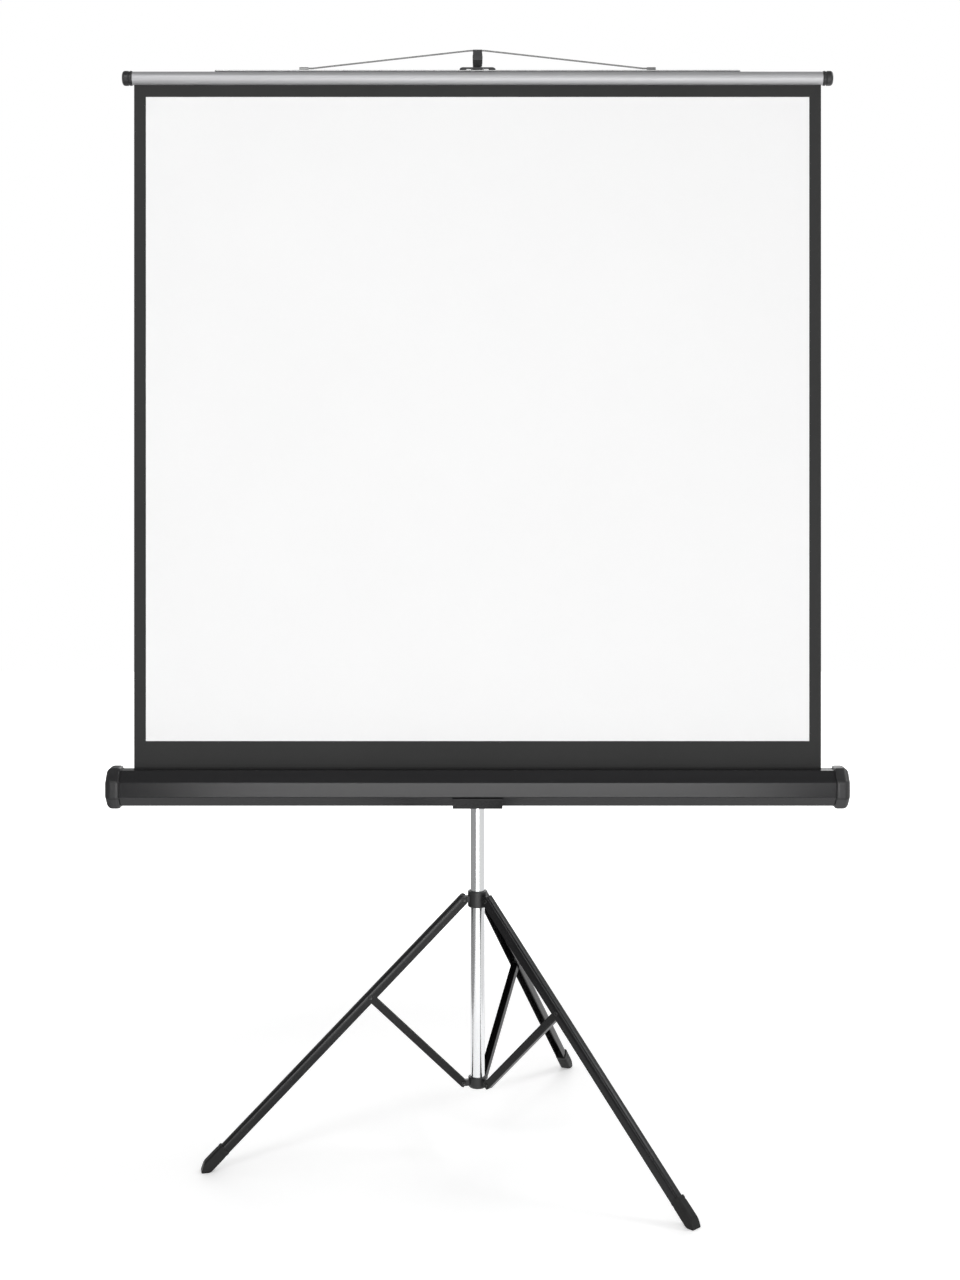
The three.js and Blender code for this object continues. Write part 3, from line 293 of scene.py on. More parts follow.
def walled(path, wall):
    """The outline of a bent sheet: the path out and its inward offset back. The offset moves each
    point along the mean of its two segments' normals, stretched to keep the wall even at bends."""
    step = unit(np.diff(path, axis=0))
    normal = np.stack([-step[:, 1], step[:, 0]], axis=-1)
    before = np.vstack([normal[:1], normal])
    after = np.vstack([normal, normal[-1:]])
    offset = (before + after) / (1 + (before * after).sum(axis=1, keepdims=True))
    return np.vstack([path, (path + wall * offset)[::-1]])


def bent_bar(outline, begin, finish, place):
    """A bar of a bent sheet's outline: each outline point runs from its begin to its finish along
    local z, and strips of quads between the two faces of the sheet close the ends."""
    count = len(outline)
    ends = np.stack([begin, finish])[..., None]
    local = np.concatenate([np.tile(outline, (2, 1, 1)), ends], axis=-1)
    points, faces = skin(placed(local, *place))
    near = np.arange(count // 2 - 1)
    strip = np.stack([near, near + 1, count - 2 - near, count - 1 - near], axis=-1)
    return points, faces + strip.tolist() + (strip + count).tolist()


def scaled_rows(outline, rows, place):
    """A body of like sections: each row gives a height along local z and the outline's scale there."""
    rows = np.asarray(rows, float)
    flat = outline[None] * rows[:, 1:, None]
    heights = np.broadcast_to(rows[:, :1, None], flat.shape[:2] + (1,))
    return skin(placed(np.concatenate([flat, heights], axis=-1), *place), start=True, end=True)


def drawn(outline, begin, finish, place):
    """A solid bar: an outline in local x and y carried straight from begin to finish along local z."""
    return scaled_rows(outline, [(begin, 1.0), (finish, 1.0)], place)


def wire(path, radius, plane_normal, sides=14):
    """A round wire: circles square to the path, drawn on its plane's normal and the side vector."""
    side = np.cross(plane_normal, unit(np.gradient(path, axis=0)))
    angle = np.linspace(0, TURN, sides, endpoint=False)[None, :, None]
    rings = path[:, None] + radius * (np.cos(angle) * side[:, None] + np.sin(angle) * plane_normal)
    return skin(rings, start=True, end=True)


def softened(radius, height, round_low, round_high, bore=0.0, base=0.0):
    """The profile of a turned block from its axis or bore: a foot and a head with quarter-round edges."""
    low = arc((radius - round_low, base + round_low), round_low, -90, 0, 6)
    high = arc((radius - round_high, base + height - round_high), round_high, 0, 90, 6)
    return np.vstack([(bore, base), low, high, (bore, base + height)])


def mesh_of(name, points, faces):
    """A mesh of points and faces."""
    mesh = bpy.data.meshes.new(name)
    mesh.from_pydata(points.tolist(), [], faces)
    return mesh


def linked(name, data):
    """An object in the scene for a mesh, a lamp or a camera."""
    made = bpy.data.objects.new(name, data)
    bpy.context.scene.collection.objects.link(made)
    return made


def finished(name, parts, finish, body, nodes, bevel=0.0):
    """A piece from its parts: one mesh with merged seams and outward faces, rounded where a bevel is
    given, riding on its body in place of its CAD nodes."""
    starts = np.cumsum([0] + [len(points) for points, _ in parts])
    points = np.vstack([points for points, _ in parts])
    faces = [np.add(face, start).tolist() for start, part in zip(starts, parts) for face in part[1]]
    mesh = mesh_of(name, points, faces)
    edit = bmesh.new()
    edit.from_mesh(mesh)
    bmesh.ops.remove_doubles(edit, verts=edit.verts, dist=2e-7)
    bmesh.ops.dissolve_degenerate(edit, edges=edit.edges, dist=1e-7)
    bmesh.ops.recalc_face_normals(edit, faces=edit.faces)
    edit.to_mesh(mesh)
    edit.free()
    mesh.shade_smooth()
    mesh.set_sharp_from_angle(angle=CREASE)
    mesh.materials.append(finish_named(finish))
    piece = linked(name, mesh)
    if bevel:
        rounding = piece.modifiers.new("edges", "BEVEL")
        rounding.width = bevel
        rounding.segments = 3
        rounding.limit_method = "ANGLE"
        rounding.angle_limit = CREASE
    shading = piece.modifiers.new("shading", "WEIGHTED_NORMAL")
    shading.keep_sharp = not bevel
    shading.weight = 60
    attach(piece, body)
    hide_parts(*nodes)


def feed(owner, node, inputs):
    """Links each named input of a node to the output given for it, or sets it to the value given."""
    for key, value in inputs.items():
        if isinstance(value, bpy.types.NodeSocket):
            owner.node_tree.links.new(value, node.inputs[key])
        else:
            node.inputs[key].default_value = value


def node_of(owner, kind, spot, inputs=(), **settings):
    """A shader node with its settings and inputs, at a spot on the node sheet."""
    made = owner.node_tree.nodes.new(kind)
    made.location = spot
    for key, value in settings.items():
        setattr(made, key, value)
    feed(owner, made, dict(inputs))
    return made


def maths(owner, operation, spot, *values):
    """One sum on numbers or other nodes' outputs."""
    inputs = dict(enumerate(values))
    return node_of(owner, "ShaderNodeMath", spot, inputs, operation=operation).outputs["Value"]


def remapped(owner, value, source, target, spot, **settings):
    """A value carried from a source range to a target range."""
    sockets = ("Value", "From Min", "From Max", "To Min", "To Max")
    inputs = dict(zip(sockets, (value, *source, *target)))
    return node_of(owner, "ShaderNodeMapRange", spot, inputs, **settings).outputs["Result"]


def shader(name):
    """A new material and its Principled shader."""
    material = bpy.data.materials.new(name)
    material.use_nodes = True
    return material, material.node_tree.nodes["Principled BSDF"]


def place_on(material, y):
    """Object coordinates for a material."""
    return node_of(material, "ShaderNodeTexCoord", (-1100, y)).outputs["Object"]


def grain(material, scale, stretch=EVEN, detail=3.0, y=0):
    """Noise between 0 and 1 on stretched Object coordinates."""
    inputs = {"Vector": place_on(material, y), "Scale": stretch}
    mapping = node_of(material, "ShaderNodeMapping", (-900, y), inputs)
    inputs = {"Vector": mapping.outputs["Vector"], "Scale": scale, "Detail": detail, "Roughness": 0.55}
    return node_of(material, "ShaderNodeTexNoise", (-700, y), inputs).outputs["Fac"]


def spread(material, noise, low, high, y=0):
    """Noise, which keeps to about 0.3 to 0.7, spread over low to high."""
    return remapped(material, noise, (0.3, 0.7), (low, high), (-480, y))


def tinted(material, noise, colour, low, high, y=0):
    """A colour made darker or lighter by noise: its components times low to times high."""
    inputs = {
        "Factor": spread(material, noise, 0.0, 1.0, y),
        "A": [channel * low for channel in colour[:3]] + [1.0],
        "B": [channel * high for channel in colour[:3]] + [1.0],
    }
    return node_of(material, "ShaderNodeMix", (-260, y), inputs, data_type="RGBA").outputs["Result"]


def raised(material, height, strength, distance, y=-400):
    """A bump from a height."""
    inputs = {"Height": height, "Strength": strength, "Distance": distance}
    return node_of(material, "ShaderNodeBump", (-260, y), inputs).outputs["Normal"]


# A coat's row: its slot; its colour, or the setting that holds it; its patches, as a noise's scale, stretch
# and detail; how far they darken and lighten the colour; the roughness that they vary between; its fine
# texture, as a noise with the bump's strength and distance; and the shader's plain values.
ALONG_SLAT = (900.0, (0.01, 1.0, 1.0), 3.0)
MOTTLE = ((260.0, EVEN, 3.0), (0.85, 1.1), (0.26, 0.42), None)
COATS = {
    # Bright plated tube: faint draw lines along its length and a few dull patches.
    "bright_plating": (
        "chrome_tube", "chrome", (9.0, (1.0, 1.0, 0.6), 3.0), (0.97, 1.02), (0.12, 0.18),
        (700.0, (1.0, 1.0, 0.012), 4.0, 0.05, 0.0001), {"Metallic": 1.0},
    ),
    # Black moulded plastic: fine spark texture and a soft uneven sheen.
    "black_moulding": (
        "black_plastic", "moulding_black", (35.0, EVEN, 3.0), (0.8, 1.25), (0.34, 0.46),
        (2600.0, EVEN, 2.0, 0.18, 0.0002), {"Specular IOR Level": 0.4},
    ),
    # Semi-gloss black paint on pressed channel: faint orange peel, with rubbed patches.
    "leg_paint": (
        "black_paint", "leg_black", (18.0, EVEN, 3.0), (0.75, 1.35), (0.22, 0.28),
        (650.0, EVEN, 1.0, 0.12, 0.0002), {"Specular IOR Level": 0.28},
    ),
    # Satin dark grey paint on the rolled case: streaks along the sheet under a fine texture.
    "case_paint": (
        "case_paint", "case_grey", (60.0, (0.02, 1.0, 1.0), 4.0), (0.95, 1.05), (0.2, 0.25),
        (1800.0, EVEN, 2.0, 0.08, 0.0001), {"Specular IOR Level": 0.26},
    ),
    # Satin alloy extrusion: die lines along its length.
    "slat_alloy": (
        "slat_alloy", "alloy", ALONG_SLAT, (0.93, 1.05), (0.44, 0.54),
        (*ALONG_SLAT, 0.08, 0.0001), {"Metallic": 0.55},
    ),
    # Matte black rubber with a dusty, pitted skin.
    "boot_rubber": (
        "boot_rubber", (0.008, 0.008, 0.008), (60.0, EVEN, 3.0), (0.7, 1.5), (0.42, 0.58),
        (900.0, EVEN, 4.0, 0.25, 0.0003), {"Specular IOR Level": 0.22},
    ),
    # Natural nylon: cream plastic with a faint mottle.
    "natural_nylon": (
        "natural_nylon", (0.68, 0.66, 0.6), (120.0, EVEN, 3.0), (0.95, 1.05), (0.42, 0.52), None, {},
    ),
    # Plated, dulled and blackened steel: metal mottled in patches a few millimetres wide.
    "zinc_plating": ("zinc_steel", (0.56, 0.56, 0.55), *MOTTLE, {"Metallic": 1.0}),
    "dull_steel": ("zinc_steel", (0.4, 0.4, 0.4), *MOTTLE, {"Metallic": 0.6}),
    "wire_steel": ("zinc_steel", (0.19, 0.19, 0.19), *MOTTLE, {"Metallic": 0.8}),
    "blackened_steel": ("zinc_steel", (0.05, 0.05, 0.05), *MOTTLE, {"Metallic": 1.0}),
}


def coat(name):
    """A paint, plating or moulding: patches that vary its tone and its sheen together, and its texture."""
    _, colour, patches, tint, dullness, texture, values = COATS[name]
    if isinstance(colour, str):
        colour = getattr(bpy.context.scene.screen_colours, colour)
    material, surface = shader(name)
    tone = grain(material, *patches, y=-260)
    feed(material, surface, values)
    feed(material, surface, {"Base Color": tinted(material, tone, colour, *tint, y=260)})
    feed(material, surface, {"Roughness": spread(material, tone, *dullness, y=-260)})
    if texture:
        height = grain(material, *texture[:3])
        feed(material, surface, {"Normal": raised(material, height, *texture[3:])})
    return material


def woven(material):
    """A plain weave from the piece's own map, whose units are metres: two sets of threads, each a wave
    about every 4.5 mm. Gives the bump and the map."""
    own_map = node_of(material, "ShaderNodeUVMap", (-1100, -500), uv_map="threads").outputs["UV"]
    inputs = {"Vector": own_map, "Scale": 70.0, "Distortion": 0.4}
    warp, weft = [
        node_of(material, "ShaderNodeTexWave", (-700, y), inputs, bands_direction=direction).outputs["Fac"]
        for direction, y in (("X", -500), ("Y", -760))
    ]
    height = maths(material, "MULTIPLY", (-480, -600), warp, weft)
    return raised(material, height, 0.25, 0.0001, -600), own_map


def screen_face(name):
    """The viewing side: matte white with a black border printed to a sharp edge, on a fine weave. The
    border is where the piece's own map, in metres from its middle and its foot, leaves the picture."""
    sizes = bpy.context.scene.screen_sizes
    colours = bpy.context.scene.screen_colours
    material, surface = shader(name)
    normal, own_map = woven(material)
    parts = node_of(material, "ShaderNodeSeparateXYZ", (-900, 500), {"Vector": own_map}).outputs
    half = (FABRIC_HIGH[0] - FABRIC_LOW[0]) / 2 - sizes.border_side
    foot = sizes.border_bottom_z - FABRIC_LOW[2]
    head = sizes.border_top_z - FABRIC_LOW[2]
    aside = maths(material, "ABSOLUTE", (-700, 620), parts["X"])
    between = maths(material, "LESS_THAN", (-500, 620), aside, half)
    above = maths(material, "GREATER_THAN", (-500, 460), parts["Y"], foot)
    below = maths(material, "LESS_THAN", (-500, 300), parts["Y"], head)
    clear = maths(material, "MULTIPLY", (-320, 560), between, above)
    cloud = grain(material, 3.0)
    inputs = {
        "Factor": maths(material, "MULTIPLY", (-320, 400), clear, below),
        "A": tinted(material, cloud, colours.cloth_black, 0.94, 1.06, 160),
        "B": tinted(material, cloud, colours.cloth_white, 0.995, 1.005, -60),
    }
    printed = node_of(material, "ShaderNodeMix", (-60, 300), inputs, data_type="RGBA").outputs["Result"]
    feed(material, surface, {"Base Color": printed, "Normal": normal})
    feed(material, surface, {"Roughness": 0.92, "Specular IOR Level": 0.15})
    return material


def screen_back(name):
    """The back of the screen: opaque black coating over the same weave."""
    material, surface = shader(name)
    black = bpy.context.scene.screen_colours.cloth_black
    cloud = tinted(material, grain(material, 5.0), black, 0.94, 1.04, 160)
    feed(material, surface, {"Base Color": cloud, "Normal": woven(material)[0]})
    feed(material, surface, {"Roughness": 0.85, "Specular IOR Level": 0.2})
    return material


CLOTH_SIDES = {"screen_face": screen_face, "screen_back": screen_back}
FINISHES = {}


def finish_named(name):
    """A finish, made when it is first asked for."""
    if name not in FINISHES:
        FINISHES[name] = CLOTH_SIDES.get(name, coat)(name)
    return FINISHES[name]


def spokes():
    """Number, tangent, radial direction, and leg and brace frames of each leg of the tripod. A frame is
    the pivot and three axes: outward, along the pin, and up the bar."""
    for number in (1, 2, 3):
        tangent = unit(HINGE_AXES[f"leg_{number}_fold"])
        upper = middle_of(f"leg_pin_{number}")
        lower = middle_of(f"hub_pin_{number}")
        joint = middle_of(f"brace_pin_{number}")
        leg_up = unit(upper - joint)
        brace_up = unit(joint - lower)
        leg = (upper, np.cross(tangent, leg_up), tangent, leg_up)
        brace = (lower, np.cross(tangent, brace_up), tangent, brace_up)
        yield number, tangent, np.cross(tangent, UP), leg, brace


def channel_path(half_width, reach, corner):
    """The outside of a brace's section: up one side, round two bends at its back, down the other."""
    first = arc((reach - corner, -half_width + corner), corner, -90, 0, 8)
    second = arc((reach - corner, half_width - corner), corner, 0, 90, 8)
    return np.vstack([(-reach, -half_width), first, second, (-reach, half_width)])


def crowned_path(half, corner, crown):
    """The outside of a leg's section: sides that are straight by the open edge and then shallow arcs of
    the crown's radius, a back of the same arc, and two bends tangent to them. Side and bend meet at the
    angle whose cosine less its sine is crown less half over crown less corner."""
    meet = math.acos((crown - half) / (crown - corner) / math.sqrt(2)) - math.pi / 4
    centre = (crown - corner) * math.sin(meet)
    turn = math.degrees(meet)
    return np.vstack(
        [
            (-half, -half),
            arc((0.0, crown - half), crown, -90, -90 + turn, 8),
            arc((centre, -centre), corner, -90 + turn, -turn, 10)[1:],
            arc((half - crown, 0.0), crown, -turn, turn, 12)[1:],
            arc((centre, centre), corner, turn, 90 - turn, 10)[1:],
            arc((0.0, half - crown), crown, 90 - turn, 90, 8)[1:],
            (-half, half),
        ]
    )


def round_end(outline, radius):
    """How far each line of a bar runs past its pivot, so that its end is round about the pin."""
    return np.sqrt(np.maximum(radius**2 - outline[:, 0] ** 2, 0.0))


class SCREEN_OT_tubes(bpy.types.Operator):
    """Plated pole and mast, with rounded rims"""

    bl_idname = "screen.tubes"
    bl_label = "Pole and mast"

    def execute(self, context):
        for name, body, wall in (("pole", "stand", 0.0016), ("mast", "mast", 0.0014)):
            low, high = corners_of(f"{name}_tube")
            radius = (high[0] - low[0]) / 2
            rim = wall * 0.45
            profile = softened(radius, high[2] - low[2], rim, rim, radius - wall)
            tube = revolved(profile, on_pole(low[2]), UP, closed=True, sides=96)
            finished(name, [tube], "bright_plating", body, [f"{name}_tube"])
        return {"FINISHED"}


class SCREEN_OT_hubs(bpy.types.Operator):
    """Moulded lower hub and leg collar: turned bodies with a rounded plate for each pivot"""

    bl_idname = "screen.hubs"
    bl_label = "Lower hub and leg collar"

    def lugs(self, pins, width, radius):
        """A plate for each pivot, square to its pin: straight sides from the body, round about the pin."""
        made = []
        root = 0.017
        for number, tangent, radial, _, _ in spokes():
            pin = middle_of(f"{pins}_{number}")
            end = arc(((pin - POLE_AXIS) @ radial, 0.0), radius, -90, 90, 20)
            outline = np.vstack([(root, -radius), end, (root, radius)])
            made.append(drawn(outline, -width / 2, width / 2, (on_pole(pin[2]), radial, UP, -tangent)))
        return made

    def execute(self, context):
        edge = context.scene.screen_sizes.edge_round
        low, high = corners_of("lower_hub")
        height, floor = high[2] - low[2], 0.0053
        outside = softened(0.021, height, 0.0065, 0.0018)[:-1]
        cup = np.vstack([outside, (FIXED_BORE, height), (FIXED_BORE, floor), (0.0, floor)])
        parts = [revolved(cup, on_pole(low[2]), UP)] + self.lugs("hub_pin", 0.0126, 0.0065)
        finished("lower_hub_moulding", parts, "black_moulding", "stand", ["lower_hub"], edge)

        low, high = corners_of("upper_collar")
        ring = softened(0.022, high[2] - low[2], 0.0022, 0.0022, SLIDING_BORE)
        parts = [revolved(ring, on_pole(low[2]), UP, closed=True)] + self.lugs("leg_pin", 0.0164, 0.007)
        finished("leg_collar", parts, "black_moulding", "collar", ["upper_collar"], edge)
        return {"FINISHED"}


class SCREEN_OT_legs(bpy.types.Operator):
    """Three pressed channel legs, round about the upper pivot"""

    bl_idname = "screen.legs"
    bl_label = "Legs"

    def execute(self, context):
        sizes = context.scene.screen_sizes
        half = sizes.leg_width / 2
        outline = walled(crowned_path(half, sizes.leg_corner, sizes.leg_crown), sizes.leg_wall)
        bottom = np.full(len(outline), -sizes.leg_length)
        for number, _, _, place, _ in spokes():
            bar = bent_bar(outline, bottom, round_end(outline, half), place)
            finished(f"leg_bar_{number}", [bar], "leg_paint", f"leg_{number}", [f"leg_{number}"])
        return {"FINISHED"}


class SCREEN_OT_braces(bpy.types.Operator):
    """Three channel braces, round about both of their pivots"""

    bl_idname = "screen.braces"
    bl_label = "Braces"

    def execute(self, context):
        sizes = context.scene.screen_sizes
        reach, corner, gap = 0.0085, 0.003, 0.0011  # the gap keeps its end clear of the leg's bends
        outline = walled(channel_path(sizes.brace_width / 2, reach, corner), sizes.brace_wall)
        past = round_end(outline, reach)
        for number, _, _, _, place in spokes():
            length = np.linalg.norm(middle_of(f"brace_pin_{number}") - place[0])
            bar = bent_bar(outline, -past, length + past - gap, place)
            finished(f"brace_bar_{number}", [bar], "leg_paint", f"brace_{number}", [f"brace_{number}"])
        return {"FINISHED"}


class SCREEN_OT_boots(bpy.types.Operator):
    """Rubber boots on the legs, cut flat where they stand on the floor"""

    bl_idname = "screen.boots"
    bl_label = "Rubber boots"

    def boot(self, outline, top, place, radial, toe):
        """Rows of the section down the leg: a share of the way from the boot's mouth to its foot, and a
        scale. A line's foot is where it meets the floor or the steep plane of the toe, whichever comes
        first, eased into each other by a log of summed exponentials, and rings of the last row fill it."""
        collar = [(0.0, 0.83), (0.0, 0.95), (0.012, 0.985), (0.04, 1.0), (0.12, 1.0)]
        groove = [(0.15, 0.955), (0.2, 0.955), (0.23, 0.99)]
        sides = [(0.6, 1.0), (0.93, 1.0), (0.975, 0.985), (1.0, 0.94)]
        sole = [(1.0, scale) for scale in np.linspace(0.8, 0.02, 7)]
        rows = np.array(collar + groove + sides + sole)
        origin, x_axis, y_axis, z_axis = place
        flat = outline[None] * rows[:, 1:, None]
        base = origin + flat[..., :1] * x_axis + flat[..., 1:] * y_axis
        floor = -base[..., 2] / z_axis[2]
        steep = radial + math.tan(math.radians(19.0)) * UP
        front = (toe - (base - POLE_AXIS) @ steep) / (z_axis @ steep)
        ease = 0.0012
        foot = np.maximum(floor, front) + ease * np.log1p(np.exp(-np.abs(floor - front) / ease))
        height = top + (foot - top) * rows[:, :1]
        local = np.concatenate([flat, height[..., None]], axis=-1)
        return skin(placed(local, *place), start=True, end=True)

    def execute(self, context):
        sizes = context.scene.screen_sizes
        half, corner = sizes.boot_width / 2, 0.0055
        square = [(half, -half), (half, half), (-half, half), (-half, -half)]
        outline = evenly(rounded(square, corner), 72)
        top = -(sizes.leg_length - sizes.boot_grip)
        for number, _, radial, place, _ in spokes():
            boot = self.boot(outline, top, place, radial, sizes.toe_radius)
            finished(f"boot_{number}", [boot], "boot_rubber", f"leg_{number}", [f"foot_{number}"])
        return {"FINISHED"}


class SCREEN_OT_rivets(bpy.types.Operator):
    """Tubular rivets at the pivots, with rolled heads, and the collar's stop rivet"""

    bl_idname = "screen.rivets"
    bl_label = "Pivot rivets"

    def rivet(self, centre, axis, half_length):
        """A turned rivet: a bore, two domed heads and a shank between them."""
        under = half_length - 0.0014
        upper = np.vstack([(0.003, under), arc((0.0034, under), 0.0016, 0, 90, 6), (0.0012, under + 0.001)])
        lower = upper[::-1] * np.array([1.0, -1.0])
        return revolved(np.vstack([lower, upper]), centre, axis, closed=True, sides=32)

    def stop(self, node):
        """A turned rivet out of the pole's back: a shank and a domed head."""
        low, high = corners_of(node)
        depth = high[1] - low[1]
        shank, under = 0.003, depth - 0.0025
        dome = arc((0.0028, depth - 0.0017), 0.0017, 0, 90, 6)
        profile = np.vstack([(0.0, 0.0), (shank, 0.0), (shank, under), (0.0045, under), dome, (0.0, depth)])
        return revolved(profile, middle_of(node) - depth / 2 * BACK, BACK, sides=32)

    def execute(self, context):
        sizes = context.scene.screen_sizes
        head = 0.0017
        for number, tangent, _, _, _ in spokes():
            for kind, body, width in (
                ("leg", "collar", sizes.leg_width),
                ("hub", "stand", sizes.brace_width),
                ("brace", f"leg_{number}", sizes.leg_width),
            ):
                node = f"{kind}_pin_{number}"
                part = self.rivet(middle_of(node), tangent, width / 2 + head)
                finished(f"{kind}_rivet_{number}", [part], "blackened_steel", body, [node])
        stop = self.stop("leg_stop_rivet")
        finished("stop_rivet", [stop], "blackened_steel", "stand", ["leg_stop_rivet"])
        return {"FINISHED"}


class SCREEN_OT_clamps(bpy.types.Operator):
    """Mast clamp, case carriage and their knobs"""

    bl_idname = "screen.clamps"
    bl_label = "Clamp, carriage and knobs"

    def boss(self, z, inner):
        """A turned boss out of a sleeve's back, for a knob's stem, clear of the tube inside the sleeve."""
        reach, radius, bore = 0.032, 0.01, 0.0044
        profile = softened(radius, reach - inner, 0.0004, 0.0016, bore, inner)
        return revolved(profile, on_pole(z), BACK, closed=True, sides=48)

    def knob(self, start, reach):
        """A clamp knob on a stem along the back direction. Its rim is a circle whose radius swings by a
        cosine of the lobes, rows of that rim round off its two edges, and its face is dished."""
        lobes, radius, lobe, thickness, edge = 5, 0.017, 0.005, 0.013, 0.003
        angle = np.linspace(0, TURN, 160, endpoint=False)
        swing = radius - lobe / 2 + lobe / 2 * np.cos(lobes * angle)
        rim = swing[:, None] * circle(angle)
        bend = np.radians(np.linspace(0, 90, 7))
        swell = 0.84 + 0.16 * np.sin(bend)
        rise = edge * (1 - np.cos(bend))
        low = np.stack([rise, swell], axis=-1)
        high = np.stack([thickness - rise, swell], axis=-1)[::-1]
        rows = np.vstack([low, high, (thickness - 0.0008, 0.55), (thickness - 0.0012, 0.3)])
        head = scaled_rows(rim, rows, (start + reach * BACK, RIGHT, -UP, BACK))
        stem = revolved(softened(0.004, reach + 0.002, 0.0006, 0.0006), start, BACK, sides=40)
        return [head, stem]

    def clamp(self, low, high):
        """A turned sleeve over the pole's top, narrowed to the mast above it."""
        tall, step, mast_bore = high[2] - low[2], 0.0303, 0.013
        foot = arc((0.0205, 0.0015), 0.0015, -90, 0, 5)
        head = arc((0.0185, tall - 0.0035), 0.0035, 0, 90, 6)
        inside = [(mast_bore, tall), (mast_bore, step), (FIXED_BORE, step)]
        profile = np.vstack([(FIXED_BORE, 0.0), foot, head, inside])
        return revolved(profile, on_pole(low[2]), UP, closed=True)

    def execute(self, context):
        edge = context.scene.screen_sizes.edge_round
        parts = [self.clamp(*corners_of("mast_clamp")), self.boss(middle_of("mast_knob")[2], 0.0175)]
        finished("mast_clamp_moulding", parts, "black_moulding", "stand", ["mast_clamp"], edge)

        low, high = corners_of("carriage")
        knob_z = middle_of("case_knob")[2]
        ring = softened(0.0225, high[2] - low[2], 0.0025, 0.0025, SLIDING_BORE)
        sleeve = revolved(ring, on_pole(low[2]), UP, closed=True)
        root, bolt_bore = 0.0185, 0.0054
        seat = softened(0.021, POLE_AXIS[1] - low[1] - root, 0.0005, 0.0022, bolt_bore, root)
        pivot = revolved(seat, on_pole(knob_z), -BACK, closed=True)
        parts = [sleeve, pivot, self.boss(knob_z, 0.0198)]
        finished("case_carriage", parts, "black_moulding", "carriage", ["carriage"], edge)

        head_at = 0.0323
        for node, inner in (("mast_knob", 0.0128), ("case_knob", FIXED_BORE)):
            parts = self.knob(on_pole(middle_of(node)[2]) + inner * BACK, head_at - inner)
            finished(f"{node}_moulding", parts, "black_moulding", node, [node])
        return {"FINISHED"}


class SCREEN_OT_hook(bpy.types.Operator):
    """Hook head on the mast: a socket and an arm whose notch carries the bail"""

    bl_idname = "screen.hook"
    bl_label = "Hook head"

    def arm(self, top, mast_top):
        """An outline in depth and height, drawn across to a half width that is read off by height."""
        wire_y, notch, cheek = FABRIC_Y + 0.026, 0.0023, 0.0058
        root, seat = POLE_AXIS[1] - 0.002, top - 0.0055
        corners = [
            (root, mast_top - 0.012, 0.0005),
            (wire_y - 0.004, seat - 0.02, 0.002),
            (wire_y - cheek, seat - 0.01, 0.002),
            (wire_y - cheek, seat + 0.002, 0.0009),
            (wire_y - notch, seat + 0.002, 0.0009),
            (wire_y - notch, seat, 0.0006),
            (wire_y + notch, seat, 0.0006),
            (wire_y + notch, top, 0.001),
            (wire_y + cheek, top, 0.0012),
            (wire_y + cheek, seat - 0.004, 0.002),
            (root, mast_top + 0.006, 0.0005),
        ]
        corners = np.array(corners)
        outline = evenly(rounded(corners[:, :2], corners[:, 2], 5), 110)
        levels = mast_top + np.array([-0.012, 0.003, 0.006, 0.01, 0.022, 0.0275, 0.0295, 0.0405])
        widths = [0.0068, 0.0068, 0.0095, 0.0108, 0.0112, 0.0108, 0.0101, 0.0101]
        half = np.interp(outline[:, 1], levels, widths)
        rings = np.stack([np.column_stack([side * half, outline]) for side in (-1.0, 1.0)])
        return skin(rings, start=True, end=True)

    def socket(self, low, tall):
        """A turned cap over the mast's end."""
        bore, ceiling = 0.0128, tall - 0.0057
        foot = arc((0.0145, 0.0015), 0.0015, -90, 0, 5)
        head = arc((0.012, tall - 0.004), 0.004, 0, 90, 6)
        inside = [(0.0, tall), (0.0, ceiling), (bore, ceiling), (bore, 0.0)]
        return revolved(np.vstack([(bore, 0.0), foot, head, inside]), on_pole(low), UP)

    def execute(self, context):
        low, high = corners_of("hook_head")
        mast_top = low[2] + 0.034
        parts = [self.arm(high[2], mast_top), self.socket(low[2], mast_top + 0.006 - low[2])]
        finished("hook_moulding", parts, "black_moulding", "mast", ["hook_head"], 0.0012)
        return {"FINISHED"}


